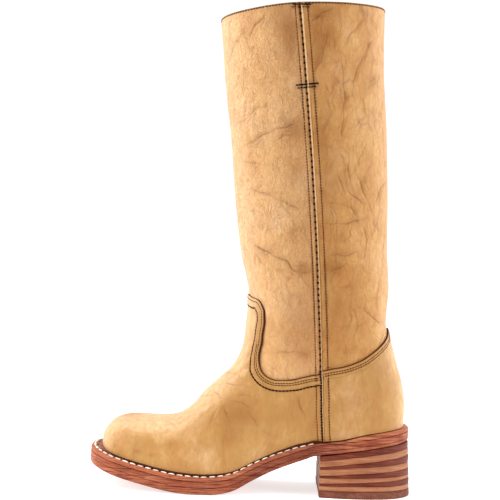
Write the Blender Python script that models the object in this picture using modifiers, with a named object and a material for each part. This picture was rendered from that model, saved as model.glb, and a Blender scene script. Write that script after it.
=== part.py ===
"""Left campus boot in tan leather: a tall shaft over a round square toe, on a stacked leather heel.

Frame: metres, +Z up, floor at Z = 0, toe towards -X, heel towards +X, outer side of the foot towards -Y.
The upper is one skin wrapped over a last. The last is a foot body and a leg body, each given by a short
table of sections, blended at the instep. Every other piece is cut from that skin or stands round its edge.
"""
import math

import bmesh
import bpy
import numpy as np

# Driving sizes of the last, in metres
LAST_LENGTH = 0.2505          # toe to heel of the upper, at the feather line
BALL_WIDTH = 0.0845           # across the ball of the foot
INSTEP_HEIGHT = 0.100         # from the feather line to the top of the instep
HEEL_WIDTH = 0.062            # across the heel seat
HEEL_LENGTH = 0.098           # front to back of the leg where it meets the heel seat
BOOT_HEIGHT = 0.407           # floor to the back of the collar
COLLAR_LENGTH = 0.1396        # front to back of the collar
COLLAR_WIDTH = 0.110          # across the collar
SHAFT_LEAN = math.radians(5.5)
INSTEP_BLEND = 0.016          # how softly foot and leg run together
TOE_DEPTH = 0.033             # length of the rounded end of the toe

# Driving sizes of the bottom, in metres
HEEL_HEIGHT = 0.0445          # floor to the underside of the sole, at the back
BREAST_HEIGHT = 0.0331        # the same at the heel's front face
HEEL_BLOCK_LENGTH = 0.0727    # heel's front face to the back of the upper
TOE_SPRING = 0.017            # lift of the sole under the tip of the toe
WELT_THICKNESS = 0.0035
MIDSOLE_THICKNESS = 0.005
OUTSOLE_THICKNESS = 0.006
SEAT_THINNING = 0.0025        # how much thinner the outsole is skived under waist and seat
INSOLE_THICKNESS = 0.003
TOE_REACH = 0.0105            # sole edge beyond the upper at the toe
SIDE_REACH = 0.0062           # the same along both sides and round the heel
HEEL_REACH = 0.009            # foot of the heel beyond the upper, at the back
EDGE_ROUND = 0.0022           # rounding of the outsole's lower edge
WELT_SET_BACK = 0.0030        # welt edge inside the widest line of the sole
RAND_LEDGE = 0.0008           # flat top of the rand beside the counter

# Leather thicknesses and the seams, in metres
WALL = 0.0022                 # shaft leather with its lining
OVERLAY = 0.0015              # vamp and counter leather
PIPING_WIDTH = 0.0022
PIPING_THICKNESS = 0.0019
STRAP_THICKNESS = 0.0024
STRAP_WIDTH = 0.021
STRAP_LENGTH = 0.068
STRAP_DROP = 0.003            # top of the pull strap below the collar
TONGUE_HEIGHT = 0.1626        # floor to the top of the vamp's tongue
COUNTER_HEIGHT = 0.139        # floor to the peak of the counter
GAP = 0.0003                  # clearance between pieces that touch on the real boot

# Fineness of the faceted skin
COLUMNS = 44                  # points round the boot
ROWS = 25                     # points from the feather line to the collar
OVERLAY_ROWS = 15             # rows that the vamp and the counter need
COLUMN_SAMPLES = 90           # finer steps that a column's length is measured on
OUTLINE_SAMPLES = 360
CURVE_STEPS = 3               # points on an outline between two rows of its table
SEAM_POINTS = 12
HEEL_SIDE_POINTS = 12
NORMAL_STEP = 0.0002
SMOOTH_ANGLE = math.radians(35)

# Foot sections. along: share of the last from the toe; outer, inner: half widths as shares of the ball
# width; height: share of the instep height; square: power of the rounding of the section.
FOOT_SECTIONS = (
    {"along": 0.00, "outer": 0.405, "inner": 0.400, "height": 0.270, "square": 2.7},
    {"along": 0.10, "outer": 0.448, "inner": 0.446, "height": 0.336, "square": 2.7},
    {"along": 0.18, "outer": 0.485, "inner": 0.488, "height": 0.378, "square": 2.5},
    {"along": 0.26, "outer": 0.510, "inner": 0.494, "height": 0.436, "square": 2.4},
    {"along": 0.34, "outer": 0.512, "inner": 0.475, "height": 0.640, "square": 2.2},
    {"along": 0.42, "outer": 0.478, "inner": 0.425, "height": 0.825, "square": 2.1},
    {"along": 0.50, "outer": 0.415, "inner": 0.370, "height": 0.970, "square": 2.0},
    {"along": 0.60, "outer": 0.365, "inner": 0.340, "height": 1.090, "square": 2.0},
    {"along": 0.70, "outer": 0.345, "inner": 0.335, "height": 1.050, "square": 2.0},
    {"along": 0.80, "outer": 0.335, "inner": 0.335, "height": 0.700, "square": 2.0},
    {"along": 0.88, "outer": 0.300, "inner": 0.300, "height": 0.300, "square": 2.0},
)
WIDEST_LEVEL = 0.16           # height of the widest line of a foot section, share of its top
FOOT_CLOSES = 0.80            # where the foot body starts to close inside the heel, share of the last
FOOT_CLOSING = 0.12           # over what share of the last it closes
END_POWER = 2.7               # rounding of the foot's two ends, seen from above
FOOT_SCALE = 0.030            # turns the foot's radius ratio to a distance
LEG_SCALE = 0.045             # the same for the leg
LEAST_BLEND = 0.08            # share of the instep's softness that is left at the feather line

# Leg sections. rise: share of the way from heel seat to collar; back: how far in front of the back of the
# upper, as a share of the last; deep, wide: 0 for the heel seat's size, 1 for the collar's; square: power.
LEG_SECTIONS = (
    {"rise": 0.000, "back": 0.0000, "deep": 0.000, "wide": 0.00, "square": 2.60},
    {"rise": 0.050, "back": -0.0015, "deep": 0.240, "wide": 0.06, "square": 2.60},
    {"rise": 0.100, "back": 0.0090, "deep": 0.480, "wide": 0.10, "square": 2.50},
    {"rise": 0.160, "back": 0.0340, "deep": 0.510, "wide": 0.18, "square": 2.30},
    {"rise": 0.215, "back": 0.0560, "deep": 0.470, "wide": 0.28, "square": 2.20},
    {"rise": 0.265, "back": 0.0680, "deep": 0.420, "wide": 0.39, "square": 2.15},
    {"rise": 0.300, "back": 0.0610, "deep": 0.445, "wide": 0.44, "square": 2.10},
    {"rise": 0.340, "back": 0.0625, "deep": 0.525, "wide": 0.48, "square": 2.10},
    {"rise": 0.410, "back": 0.0700, "deep": 0.632, "wide": 0.55, "square": 2.10},
    {"rise": 0.560, "back": 0.0780, "deep": 0.766, "wide": 0.69, "square": 2.10},
    {"rise": 0.700, "back": 0.0900, "deep": 0.828, "wide": 0.80, "square": 2.10},
    {"rise": 0.850, "back": 0.1065, "deep": 0.897, "wide": 0.90, "square": 2.10},
    {"rise": 1.000, "back": 0.1130, "deep": 1.000, "wide": 1.00, "square": 2.10},
)

# Underside of the sole at the toe. along: share of the last; spring: share of the toe spring.
SPRING_LINE = (
    {"along": -0.045, "spring": 1.05},
    {"along": 0.050, "spring": 0.66},
    {"along": 0.140, "spring": 0.35},
    {"along": 0.220, "spring": 0.12},
    {"along": 0.300, "spring": 0.00},
    {"along": 0.395, "spring": 0.00},
)
BALL_BACK = 0.395             # back end of the flat tread under the ball, share of the last

# Underside of the sole at the arch. way: share of the way from the tread to the heel's front face; arch:
# share of the height at that face.
ARCH_LINE = (
    {"way": -0.300, "arch": 0.00},
    {"way": 0.000, "arch": 0.00},
    {"way": 0.118, "arch": 0.07},
    {"way": 0.254, "arch": 0.24},
    {"way": 0.365, "arch": 0.37},
    {"way": 0.588, "arch": 0.63},
    {"way": 0.842, "arch": 0.86},
    {"way": 1.000, "arch": 1.00},
)
SKIVED_BY = 0.842             # where the outsole has thinned to its seat thickness, share of the same way

# Side seam, from the feather line to the collar. height: share of the boot height; along: share of the last.
SIDE_SEAM = (
    {"height": 0.00, "along": 0.740},
    {"height": 0.11, "along": 0.732},
    {"height": 0.25, "along": 0.714},
    {"height": 0.37, "along": 0.701},
    {"height": 0.58, "along": 0.669},
    {"height": 0.70, "along": 0.648},
    {"height": 0.82, "along": 0.626},
    {"height": 1.00, "along": 0.589},
)

# Cut edge of the vamp, from its tongue down to the side seam. along: share of the last; height: share of
# the tongue's height.
VAMP_EDGE = (
    {"along": 0.462, "height": 1.000},
    {"along": 0.490, "height": 0.985},
    {"along": 0.518, "height": 0.938},
    {"along": 0.524, "height": 0.885},
    {"along": 0.520, "height": 0.808},
    {"along": 0.511, "height": 0.693},
    {"along": 0.515, "height": 0.631},
    {"along": 0.539, "height": 0.587},
    {"along": 0.590, "height": 0.577},
    {"along": 0.634, "height": 0.587},
    {"along": 0.712, "height": 0.618},
)

# Top edge of the counter, from the side seam to its peak at the back. height: share of the peak's height.
COUNTER_EDGE = (
    {"along": 0.715, "height": 0.740},
    {"along": 0.780, "height": 0.768},
    {"along": 0.834, "height": 0.802},
    {"along": 0.877, "height": 0.850},
    {"along": 0.934, "height": 0.957},
    {"along": 0.952, "height": 1.000},
)

# Stacked heel from the top down. front, back: share of the heel's height at its front face and at the back.
HEEL_STACK = (
    {"name": "heel_lift_1", "front": 0.113, "back": 0.123, "leather": "dark_lift"},
    {"name": "heel_lift_2", "front": 0.153, "back": 0.127, "leather": "light_lift"},
    {"name": "heel_lift_3", "front": 0.047, "back": 0.118, "leather": "dark_lift"},
    {"name": "heel_lift_4", "front": 0.160, "back": 0.118, "leather": "light_lift"},
    {"name": "heel_lift_5", "front": 0.047, "back": 0.109, "leather": "dark_lift"},
    {"name": "heel_lift_6", "front": 0.140, "back": 0.071, "leather": "light_lift"},
    {"name": "heel_lift_7", "front": 0.047, "back": 0.098, "leather": "dark_lift"},
    {"name": "heel_lift_8", "front": 0.123, "back": 0.094, "leather": "light_lift"},
    {"name": "top_lift", "front": 0.170, "back": 0.142, "leather": "heel_rubber"},
)

# How the columns of the skin run. A ray starts near the middle of the last: centre and spread place its
# start, as shares of the last, at the feather line, the ankle and the collar.
FOOT_CENTRE = 0.50
FOOT_SPREAD = 0.30
ANKLE_CENTRE = 0.70
ANKLE_SPREAD = 0.07
COLLAR_CENTRE = 0.61
FOOT_SHARE = 0.46             # share of a column that lies over the foot
ANKLE_RISE = 1.07             # height of the last foot row above the feather, share of the instep height
RISE_POWER = 1.15             # above 1, the foot's rows lie closer at the feather line
LEVELLING_START = 0.35        # share of the foot's rows that keep the feather line's bend
ANKLE_PLACE = 0.90            # where the ankle's rows take their height from, share of the last
ANKLE_FALL = 0.20             # slope of the ankle's rows, down towards the heel
VAMP_LIFT = math.radians(78)  # how steeply the rays climb over the vamp
LIFT_SHIFT = 0.75             # below 1, the steepest climb lies in the foot's lower rows
LIFT_POWER = 1.1              # above 1, the climb is held closer to the vamp
RAY_REACH = 0.64              # longest ray, share of the last
RAY_HALVINGS = 40
ROW_CROWDING = 0.38           # how much closer the rows lie at the foot than at the collar

# Colours, as red, green, blue, then roughness
FINISHES = {
    "upper_leather": ((0.72, 0.42, 0.17), 0.50),
    "overlay_leather": ((0.70, 0.40, 0.16), 0.50),
    "piping_leather": ((0.80, 0.55, 0.30), 0.55),
    "lining_leather": ((0.62, 0.43, 0.26), 0.70),
    "welt_leather": ((0.46, 0.16, 0.07), 0.45),
    "sole_leather": ((0.44, 0.14, 0.06), 0.45),
    "light_lift": ((0.48, 0.20, 0.09), 0.45),
    "dark_lift": ((0.15, 0.03, 0.015), 0.45),
    "heel_rubber": ((0.19, 0.07, 0.035), 0.65),
}

# Places that follow from the sizes
TOE_X = (TOE_REACH - LAST_LENGTH - HEEL_REACH) / 2
HEEL_X = TOE_X + LAST_LENGTH
BREAST_X = HEEL_X - HEEL_BLOCK_LENGTH
SOLE_THICKNESS = WELT_THICKNESS + MIDSOLE_THICKNESS + OUTSOLE_THICKNESS
WELT_INNER = 2 * GAP + OVERLAY
FAR = LAST_LENGTH


# Curves through the tables

def read_table(table, key, column, at):
    """One column of a table at the given places, on a smooth curve that never overshoots its rows."""
    places = np.array([row[key] for row in table])
    values = np.array([row[column] for row in table])
    steps = np.diff(places)
    slopes = np.diff(values) / steps
    tangents = np.zeros(len(values))
    tangents[0] = slopes[0]
    tangents[-1] = slopes[-1]
    for i in range(1, len(values) - 1):
        if slopes[i - 1] * slopes[i] > 0:
            before = steps[i] + 2 * steps[i - 1]
            after = 2 * steps[i] + steps[i - 1]
            tangents[i] = (before + after) / (before / slopes[i - 1] + after / slopes[i])
    at = np.clip(at, places[0], places[-1])
    i = np.clip(np.searchsorted(places, at, side="right") - 1, 0, len(steps) - 1)
    t = (at - places[i]) / steps[i]
    rise = steps[i] * t * (1 - t)
    return (values[i] + (values[i + 1] - values[i]) * t * t * (3 - 2 * t)
            + rise * (1 - t) * tangents[i] - rise * t * tangents[i + 1])


def soft_step(t):
    t = np.clip(t, 0, 1)
    return t * t * (3 - 2 * t)


def flowing_line(points, steps):
    """A smooth curve through points of a flat outline."""
    points = [np.array(point) for point in points]
    padded = [2 * points[0] - points[1]] + points + [2 * points[-1] - points[-2]]
    line = []
    for a, b, c, d in zip(padded, padded[1:], padded[2:], padded[3:]):
        for k in range(steps):
            t = k / steps
            line.append(0.5 * (2 * b + (c - a) * t + (2 * a - 5 * b + 4 * c - d) * t * t
                               + (3 * b - a - 3 * c + d) * t ** 3))
    return line + [points[-1]]


# The last

def along(x):
    return (x - TOE_X) / LAST_LENGTH


def arch_way(x):
    """Share of the way from the tread under the ball to the heel's front face."""
    ball_back = TOE_X + BALL_BACK * LAST_LENGTH
    return (x - ball_back) / (BREAST_X - ball_back)


def sole_bottom(x):
    """Height of the sole's underside: toe spring, flat ball, arch, then straight over the heel."""
    spring = read_table(SPRING_LINE, "along", "spring", along(x)) * TOE_SPRING
    arch = read_table(ARCH_LINE, "way", "arch", arch_way(x)) * BREAST_HEIGHT
    seat = BREAST_HEIGHT + (x - BREAST_X) / HEEL_BLOCK_LENGTH * (HEEL_HEIGHT - BREAST_HEIGHT)
    return np.where(x > BREAST_X, seat, spring + arch)


def feather(x):
    """Height of the line where the upper meets the welt."""
    skived = SEAT_THINNING * soft_step(arch_way(x) / SKIVED_BY)
    return sole_bottom(x) + SOLE_THICKNESS - skived


def foot_body(x, y, z):
    """Negative inside the foot, about the distance outside it."""
    share = along(x)
    side = np.where(y < 0, read_table(FOOT_SECTIONS, "along", "outer", share),
                    read_table(FOOT_SECTIONS, "along", "inner", share)) * BALL_WIDTH
    top = read_table(FOOT_SECTIONS, "along", "height", share) * INSTEP_HEIGHT
    power = read_table(FOOT_SECTIONS, "along", "square", share)
    level = np.maximum(z - feather(x), 0) / top
    over = np.where(level > WIDEST_LEVEL, (level - WIDEST_LEVEL) / (1 - WIDEST_LEVEL), WIDEST_LEVEL - level)
    toe = np.clip((TOE_X + TOE_DEPTH - x) / TOE_DEPTH, 0, None)
    heel = np.clip((share - FOOT_CLOSES) / FOOT_CLOSING, 0, None)
    total = toe ** END_POWER + heel ** END_POWER + (np.abs(y) / side) ** power + over ** power
    return (total ** (1 / power) - 1) * FOOT_SCALE


def leg_body(x, y, z):
    """Negative inside the leg, about the distance outside it."""
    rise = (z - SEAT_Z) / (BOOT_HEIGHT - SEAT_Z)
    back = HEEL_X - read_table(LEG_SECTIONS, "rise", "back", rise) * LAST_LENGTH
    deep = read_table(LEG_SECTIONS, "rise", "deep", rise)
    wide = read_table(LEG_SECTIONS, "rise", "wide", rise)
    power = read_table(LEG_SECTIONS, "rise", "square", rise)
    half_length = (HEEL_LENGTH + (COLLAR_LENGTH - HEEL_LENGTH) * deep) / 2
    half_width = (HEEL_WIDTH + (COLLAR_WIDTH - HEEL_WIDTH) * wide) / 2
    total = np.abs((x - back + half_length) / half_length) ** power + np.abs(y / half_width) ** power
    return (total ** (1 / power) - 1) * LEG_SCALE


def last_body(x, y, z):
    """Foot and leg as one form, run together over the instep."""
    foot = foot_body(x, y, z)
    leg = leg_body(x, y, z)
    softness = INSTEP_BLEND * np.clip((z - feather(x)) / INSTEP_HEIGHT, LEAST_BLEND, 1.0)
    overlap = np.maximum(softness - np.abs(foot - leg), 0)
    return np.minimum(foot, leg) - overlap * overlap / softness / 4


def outward(points):
    """Unit normals of the last at points on it."""
    x, y, z = points[..., 0], points[..., 1], points[..., 2]
    d = NORMAL_STEP
    slope = np.stack([last_body(x + d, y, z) - last_body(x - d, y, z),
                      last_body(x, y + d, z) - last_body(x, y - d, z),
                      last_body(x, y, z + d) - last_body(x, y, z - d)], axis=-1)
    return slope / np.linalg.norm(slope, axis=-1, keepdims=True)


SEAT_Z = float(feather(np.array(HEEL_X)))


def collar_height(x):
    """The collar lies square to the leaning shaft."""
    back = HEEL_X - LEG_SECTIONS[-1]["back"] * LAST_LENGTH
    return BOOT_HEIGHT - (back - x) * math.tan(SHAFT_LEAN)


# The skin over the last

def cast(angle, way):
    """Points of the skin. angle: 0 at the back, 90 degrees on the outer side, 180 at the toe. way: 0 at the
    feather line, 1 at the collar. A ray leaves the middle of the last and stops where it meets the last."""
    angle, way = np.broadcast_arrays(np.asarray(angle, float), np.asarray(way, float))
    foot = np.clip(way / FOOT_SHARE, 0, 1)
    shaft = np.clip((way - FOOT_SHARE) / (1 - FOOT_SHARE), 0, 1)
    to_ankle = soft_step(foot)
    centre = (FOOT_CENTRE + (ANKLE_CENTRE - FOOT_CENTRE) * to_ankle
              + (COLLAR_CENTRE - ANKLE_CENTRE) * shaft)
    spread = FOOT_SPREAD + (ANKLE_SPREAD - FOOT_SPREAD) * to_ankle
    start = TOE_X + (centre + spread * np.cos(angle)) * LAST_LENGTH
    forwards = np.clip(-np.cos(angle), 0, 1)
    climb = VAMP_LIFT * np.abs(np.sin(np.pi * foot ** LIFT_SHIFT)) ** LIFT_POWER * forwards
    rise = ANKLE_RISE * INSTEP_HEIGHT * foot ** RISE_POWER
    levelling = soft_step((foot - LEVELLING_START) / (1 - LEVELLING_START))
    ankle_x = TOE_X + ANKLE_PLACE * LAST_LENGTH
    ankle_z = float(feather(np.array(ankle_x)))

    def point(distance):
        x = start + distance * np.cos(angle) * np.cos(climb)
        y = -distance * np.sin(angle)
        bent = feather(x) + rise
        levelled = ankle_z + rise - ANKLE_FALL * (ankle_x - x)
        over_foot = (1 - levelling) * bent + levelling * levelled
        level = (1 - shaft) * over_foot + shaft * collar_height(x)
        return x, y, level + distance * np.sin(climb)

    near = np.zeros(angle.shape)
    far = np.full(angle.shape, RAY_REACH * LAST_LENGTH)
    for _ in range(RAY_HALVINGS):
        middle = (near + far) / 2
        inside = last_body(*point(middle)) < 0
        near = np.where(inside, middle, near)
        far = np.where(inside, far, middle)
    return np.stack(point((near + far) / 2), axis=-1)


def breast_angle():
    """The angle at which the feather line passes the heel's front face."""
    angles = np.linspace(0, math.pi, OUTLINE_SAMPLES)
    return float(np.interp(-BREAST_X, -cast(angles, 0)[:, 0], angles))


def column_angles():
    """Even steps round the last, with the nearest column on each side moved to the heel's front face."""
    angles = np.arange(COLUMNS) * 2 * math.pi / COLUMNS
    breast = breast_angle()
    nearest = int(np.abs(angles[:COLUMNS // 2] - breast).argmin())
    angles[nearest] = breast
    angles[COLUMNS - nearest] = 2 * math.pi - breast
    return angles, [nearest, COLUMNS - nearest]


def skin_rows():
    """The skin as rows of points from the welt's bed to the collar, spaced by length along each column."""
    dense = np.linspace(0, 1, COLUMN_SAMPLES)
    fine = cast(ANGLES[None, :], dense[:, None])
    lengths = np.cumsum(np.linalg.norm(np.diff(fine, axis=0), axis=2), axis=0)
    lengths = np.vstack([np.zeros(COLUMNS), lengths])
    even = np.linspace(0, 1, ROWS)
    shares = (1 - ROW_CROWDING) * even + ROW_CROWDING * even ** 2
    ways = [np.interp(shares * lengths[-1, c], lengths[:, c], dense) for c in range(COLUMNS)]
    rows = cast(ANGLES[None, :], np.stack(ways, axis=1))
    bed = rows[:1] - np.array([0, 0, WELT_THICKNESS - GAP / 2])
    return np.concatenate([bed, rows])


ANGLES, BREAST_COLUMNS = column_angles()
SKIN = skin_rows()
SKIN_NORMALS = outward(SKIN - np.array([0, 0, NORMAL_STEP * 2]) * (np.arange(len(SKIN)) < 2)[:, None, None])


def outline_at(reach, angles):
    """The feather line moved outwards by reach, at any angles."""
    line = cast(angles, 0)
    normals = outward(line - np.array([0, 0, NORMAL_STEP * 2]))
    normals[:, 2] = 0
    normals /= np.linalg.norm(normals, axis=1, keepdims=True)
    return line + normals * np.asarray(reach)[..., None]


def edge_loop(reach):
    """The feather line moved outwards by reach, one point for each column of the skin."""
    line = outline_at(reach, ANGLES)
    line[BREAST_COLUMNS, 0] = BREAST_X
    return line


def sole_reach(x):
    """How far the sole's edge stands out from the upper: most at the toe."""
    toe = soft_step((TOE_X + TOE_DEPTH - x) / TOE_DEPTH)
    return SIDE_REACH + (TOE_REACH - SIDE_REACH) * toe


def welt_reach(x):
    """How far the welt's top stands out: a ledge round the forefoot that runs out behind the heel's face."""
    ledge = sole_reach(x) - WELT_SET_BACK
    rand = WELT_INNER + RAND_LEDGE
    return ledge + (rand - ledge) * soft_step((x - BREAST_X) / HEEL_BLOCK_LENGTH * 2)


def sole_loop(inset=0.0):
    return edge_loop(sole_reach(edge_loop(0.0)[:, 0]) - inset)


# Building solids

def clear_scene():
    for thing in list(bpy.data.objects):
        bpy.data.objects.remove(thing)
    for group in list(bpy.data.collections):
        bpy.data.collections.remove(group)


def new_collection(name):
    group = bpy.data.collections.new(name)
    bpy.context.scene.collection.children.link(group)
    return group


def finish(name):
    """One Principled material for each leather or rubber."""
    if name in bpy.data.materials:
        return bpy.data.materials[name]
    colour, roughness = FINISHES[name]
    material = bpy.data.materials.new(name)
    material.use_nodes = True
    shader = material.node_tree.nodes["Principled BSDF"]
    shader.inputs["Base Color"].default_value = (*colour, 1.0)
    shader.inputs["Roughness"].default_value = roughness
    shader.inputs["Metallic"].default_value = 0.0
    return material


def add_mesh(name, points, faces, group, material=None):
    mesh = bpy.data.meshes.new(name)
    mesh.from_pydata([tuple(point) for point in points], [], faces)
    mesh.update()
    piece = bpy.data.objects.new(name, mesh)
    group.objects.link(piece)
    if material:
        mesh.materials.append(finish(material))
    return piece


def face_outwards(piece):
    shape = bmesh.new()
    shape.from_mesh(piece.data)
    bmesh.ops.recalc_face_normals(shape, faces=shape.faces)
    shape.to_mesh(piece.data)
    shape.free()


def smooth_shading(piece):
    piece.data.shade_smooth()
    piece.data.set_sharp_from_angle(angle=SMOOTH_ANGLE)


def wrap_faces(rows, columns):
    """Triangles between rows of points that each go once round, facing outwards."""
    faces = []
    for r in range(rows - 1):
        for c in range(columns):
            a = r * columns + c
            b = r * columns + (c + 1) % columns
            faces += [(a, a + columns, b), (b, a + columns, b + columns)]
    return faces


def lid_faces(first, count):
    """Triangles that close a loop by strips from side to side, so that the lid follows the sole's bend."""
    faces = []
    half = count // 2
    for c in range(half):
        a, b = first + c, first + c + 1
        d, e = first + (count - c) % count, first + count - c - 1
        if a != d:
            faces.append((a, b, d))
        if b != e:
            faces.append((d, b, e))
    return faces


def leather_sheet(name, offset, thickness, outwards, rows, group, material):
    """A sheet that follows the skin at an offset, with Solidify for its thickness. Its lowest row stands on
    the midsole, which rises a little from one face of the leather to the other."""
    points = SKIN[:rows] + SKIN_NORMALS[:rows] * offset
    other_face = points[0] + SKIN_NORMALS[0] * (thickness if outwards else -thickness)
    ground = np.maximum(feather(points[0, :, 0]), feather(other_face[:, 0]))
    points[0, :, 2] = ground - WELT_THICKNESS + GAP / 2
    piece = add_mesh(name, points.reshape(-1, 3), wrap_faces(rows, COLUMNS), group, material)
    wall = piece.modifiers.new("Leather", "SOLIDIFY")
    wall.thickness = thickness
    wall.offset = 1.0 if outwards else -1.0
    wall.use_even_offset = True
    wall.use_quality_normals = True
    smooth_shading(piece)
    return piece


def prism(name, outline, y_range, group):
    """A cutter: a side-view outline drawn out across the boot."""
    low, high = y_range
    count = len(outline)
    points = [(p[0], low, p[1]) for p in outline] + [(p[0], high, p[1]) for p in outline]
    faces = [tuple(range(count)), tuple(range(2 * count - 1, count - 1, -1))]
    for i in range(count):
        j = (i + 1) % count
        faces.append((i, i + count, j + count, j))
    cutter = add_mesh(name, points, faces, group)
    face_outwards(cutter)
    cutter.hide_render = True
    cutter.display_type = "WIRE"
    return cutter


def cut(piece, cutter, operation):
    step = piece.modifiers.new(cutter.name, "BOOLEAN")
    step.operation = operation
    step.solver = "EXACT"
    step.object = cutter


def ring(name, rings, group, material):
    """A closed band through loops of points that go round its section."""
    count = len(rings[0])
    points = np.concatenate(rings)
    faces = wrap_faces(len(rings), count)
    last = (len(rings) - 1) * count
    for c in range(count):
        d = (c + 1) % count
        faces += [(last + c, c, last + d), (last + d, c, d)]
    piece = add_mesh(name, points, faces, group, material)
    face_outwards(piece)
    smooth_shading(piece)
    return piece


def plate(name, rings, group, material):
    """A solid through loops of points from its top to its underside."""
    count = len(rings[0])
    points = np.concatenate(rings)
    faces = wrap_faces(len(rings), count)
    faces += lid_faces(0, count) + lid_faces((len(rings) - 1) * count, count)
    piece = add_mesh(name, points, faces, group, material)
    face_outwards(piece)
    smooth_shading(piece)
    return piece


# Side-view outlines of the cut pieces

def seam_x(z, shift=0.0):
    return TOE_X + read_table(SIDE_SEAM, "height", "along", z / BOOT_HEIGHT) * LAST_LENGTH + shift


def seam_line(low, high, shift):
    heights = np.linspace(low, high, SEAM_POINTS)
    return [(float(seam_x(z, shift)), float(z)) for z in heights]


def drawn_edge(table, height):
    points = [(TOE_X + row["along"] * LAST_LENGTH, row["height"] * height) for row in table]
    return flowing_line(points, CURVE_STEPS)


def vamp_outline():
    """Forwards of the side seam and below the edge that climbs to the tongue."""
    back_off = PIPING_WIDTH / 2 + GAP
    edge = [p for p in drawn_edge(VAMP_EDGE, TONGUE_HEIGHT) if p[0] < seam_x(p[1], -back_off)]
    corner = (TOE_X - FAR, TONGUE_HEIGHT)
    seam = seam_line(0.0, float(edge[-1][1]), -back_off)
    return [corner] + edge + seam[::-1] + [(TOE_X - FAR, 0.0)]


def counter_outline():
    """Behind the side seam and below the edge that climbs to the peak at the back."""
    back_off = PIPING_WIDTH / 2 + GAP
    edge = [p for p in drawn_edge(COUNTER_EDGE, COUNTER_HEIGHT) if p[0] > seam_x(p[1], back_off)]
    seam = seam_line(0.0, float(edge[0][1]), back_off)
    return seam + edge + [(HEEL_X + FAR, COUNTER_HEIGHT), (HEEL_X + FAR, 0.0)]


def piping_outline():
    """A narrow band along the side seam that stands on the welt."""
    low = float(feather(seam_x(SEAT_Z, PIPING_WIDTH / 2))) + GAP
    front = seam_line(low, BOOT_HEIGHT, -PIPING_WIDTH / 2)
    back = seam_line(low, BOOT_HEIGHT, PIPING_WIDTH / 2)
    return front + back[::-1]


def strap_outline():
    """A strip down the inside of the side seam, cut square at its foot."""
    top = float(collar_height(seam_x(BOOT_HEIGHT))) - STRAP_DROP
    front = seam_line(top - STRAP_LENGTH, top, -STRAP_WIDTH / 2)
    back = seam_line(top - STRAP_LENGTH, top, STRAP_WIDTH / 2)
    return front + back[::-1]


# The pieces

def make_upper(parts):
    leather_sheet("upper", 0.0, WALL, False, ROWS + 1, parts, "upper_leather")


def make_overlay(name, outline, sides, thickness, rows, parts, cutters, material):
    """Leather that lies on the upper, cut from a larger sheet of the same skin."""
    piece = leather_sheet(name, GAP, thickness, True, rows, parts, material)
    cut(piece, prism(name + "_cutter", outline, sides, cutters), "INTERSECT")


def make_strap(name, sides, parts, cutters):
    piece = leather_sheet(name, -WALL - GAP, STRAP_THICKNESS, False, ROWS + 1, parts, "lining_leather")
    cut(piece, prism(name + "_cutter", strap_outline(), sides, cutters), "INTERSECT")


def below(loop, depth):
    """The loop moved down from the feather surface by a depth."""
    line = loop.copy()
    line[:, 2] = feather(loop[:, 0]) - depth
    return line


def insole_loop():
    return edge_loop(-WALL - GAP)


def make_insole(parts):
    rim = insole_loop()
    depth = WELT_THICKNESS - GAP / 2
    plate("insole", [below(rim, depth - INSOLE_THICKNESS), below(rim, depth)], parts, "lining_leather")


def make_welt(parts, cutters):
    """One band round the whole edge: the welt in front of the heel, the rand round it."""
    inner = edge_loop(WELT_INNER)
    outer = edge_loop(welt_reach(edge_loop(0.0)[:, 0]))
    foot = sole_loop()
    depth = WELT_THICKNESS - GAP / 2
    rings = [below(inner, depth), below(inner, 0), below(outer, 0), below(foot, depth)]
    halves = {"welt": (TOE_X - FAR, BREAST_X - GAP / 2), "heel_rand": (BREAST_X + GAP / 2, HEEL_X + FAR)}
    for name, (front, back) in halves.items():
        band = ring(name, rings, parts, "welt_leather")
        block = [(front, 0.0), (back, 0.0), (back, BOOT_HEIGHT), (front, BOOT_HEIGHT)]
        cut(band, prism(name + "_cutter", block, (-FAR, FAR), cutters), "INTERSECT")


def make_midsole(parts):
    """Its top has the outlines of what stands on it, so that they all bend alike."""
    top = WELT_THICKNESS + GAP / 2
    foot = WELT_THICKNESS + MIDSOLE_THICKNESS - GAP / 2
    bed = [insole_loop(), edge_loop(0.0), edge_loop(WELT_INNER), sole_loop()]
    plate("midsole", [below(loop, top) for loop in bed] + [below(bed[-1], foot)], parts, "sole_leather")


def make_outsole(parts):
    rim = sole_loop()
    low_rim = sole_loop(EDGE_ROUND)
    top = below(rim, WELT_THICKNESS + MIDSOLE_THICKNESS + GAP / 2)
    under = low_rim.copy()
    under[:, 2] = sole_bottom(low_rim[:, 0])
    turn = rim.copy()
    turn[:, 2] = sole_bottom(rim[:, 0]) + EDGE_ROUND
    plate("outsole", [top, turn, under], parts, "sole_leather")


def heel_outline(share):
    """Outline of the heel at a share of its height from the top: the sole's edge up to the front face."""
    reach = SIDE_REACH + (HEEL_REACH - SIDE_REACH) * share
    halves = []
    for side in (-1, 1):
        angles = np.linspace(0, math.pi / 2, OUTLINE_SAMPLES)
        front = np.interp(-BREAST_X, -outline_at(reach, side * angles)[:, 0], angles)
        half = outline_at(reach, side * np.linspace(0, front, HEEL_SIDE_POINTS))
        half[-1, 0] = BREAST_X
        halves.append(half[:, :2])
    return np.concatenate([halves[0][::-1], halves[1][1:]])


def heel_ring(front, back, shift):
    """A joint of the stack: straight from the front face to the back, moved up or down by a shift."""
    line = heel_outline((front + back) / 2)
    share = front + (back - front) * (line[:, 0] - BREAST_X) / HEEL_BLOCK_LENGTH
    return np.column_stack([line, sole_bottom(line[:, 0]) * (1 - share) + shift])


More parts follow.
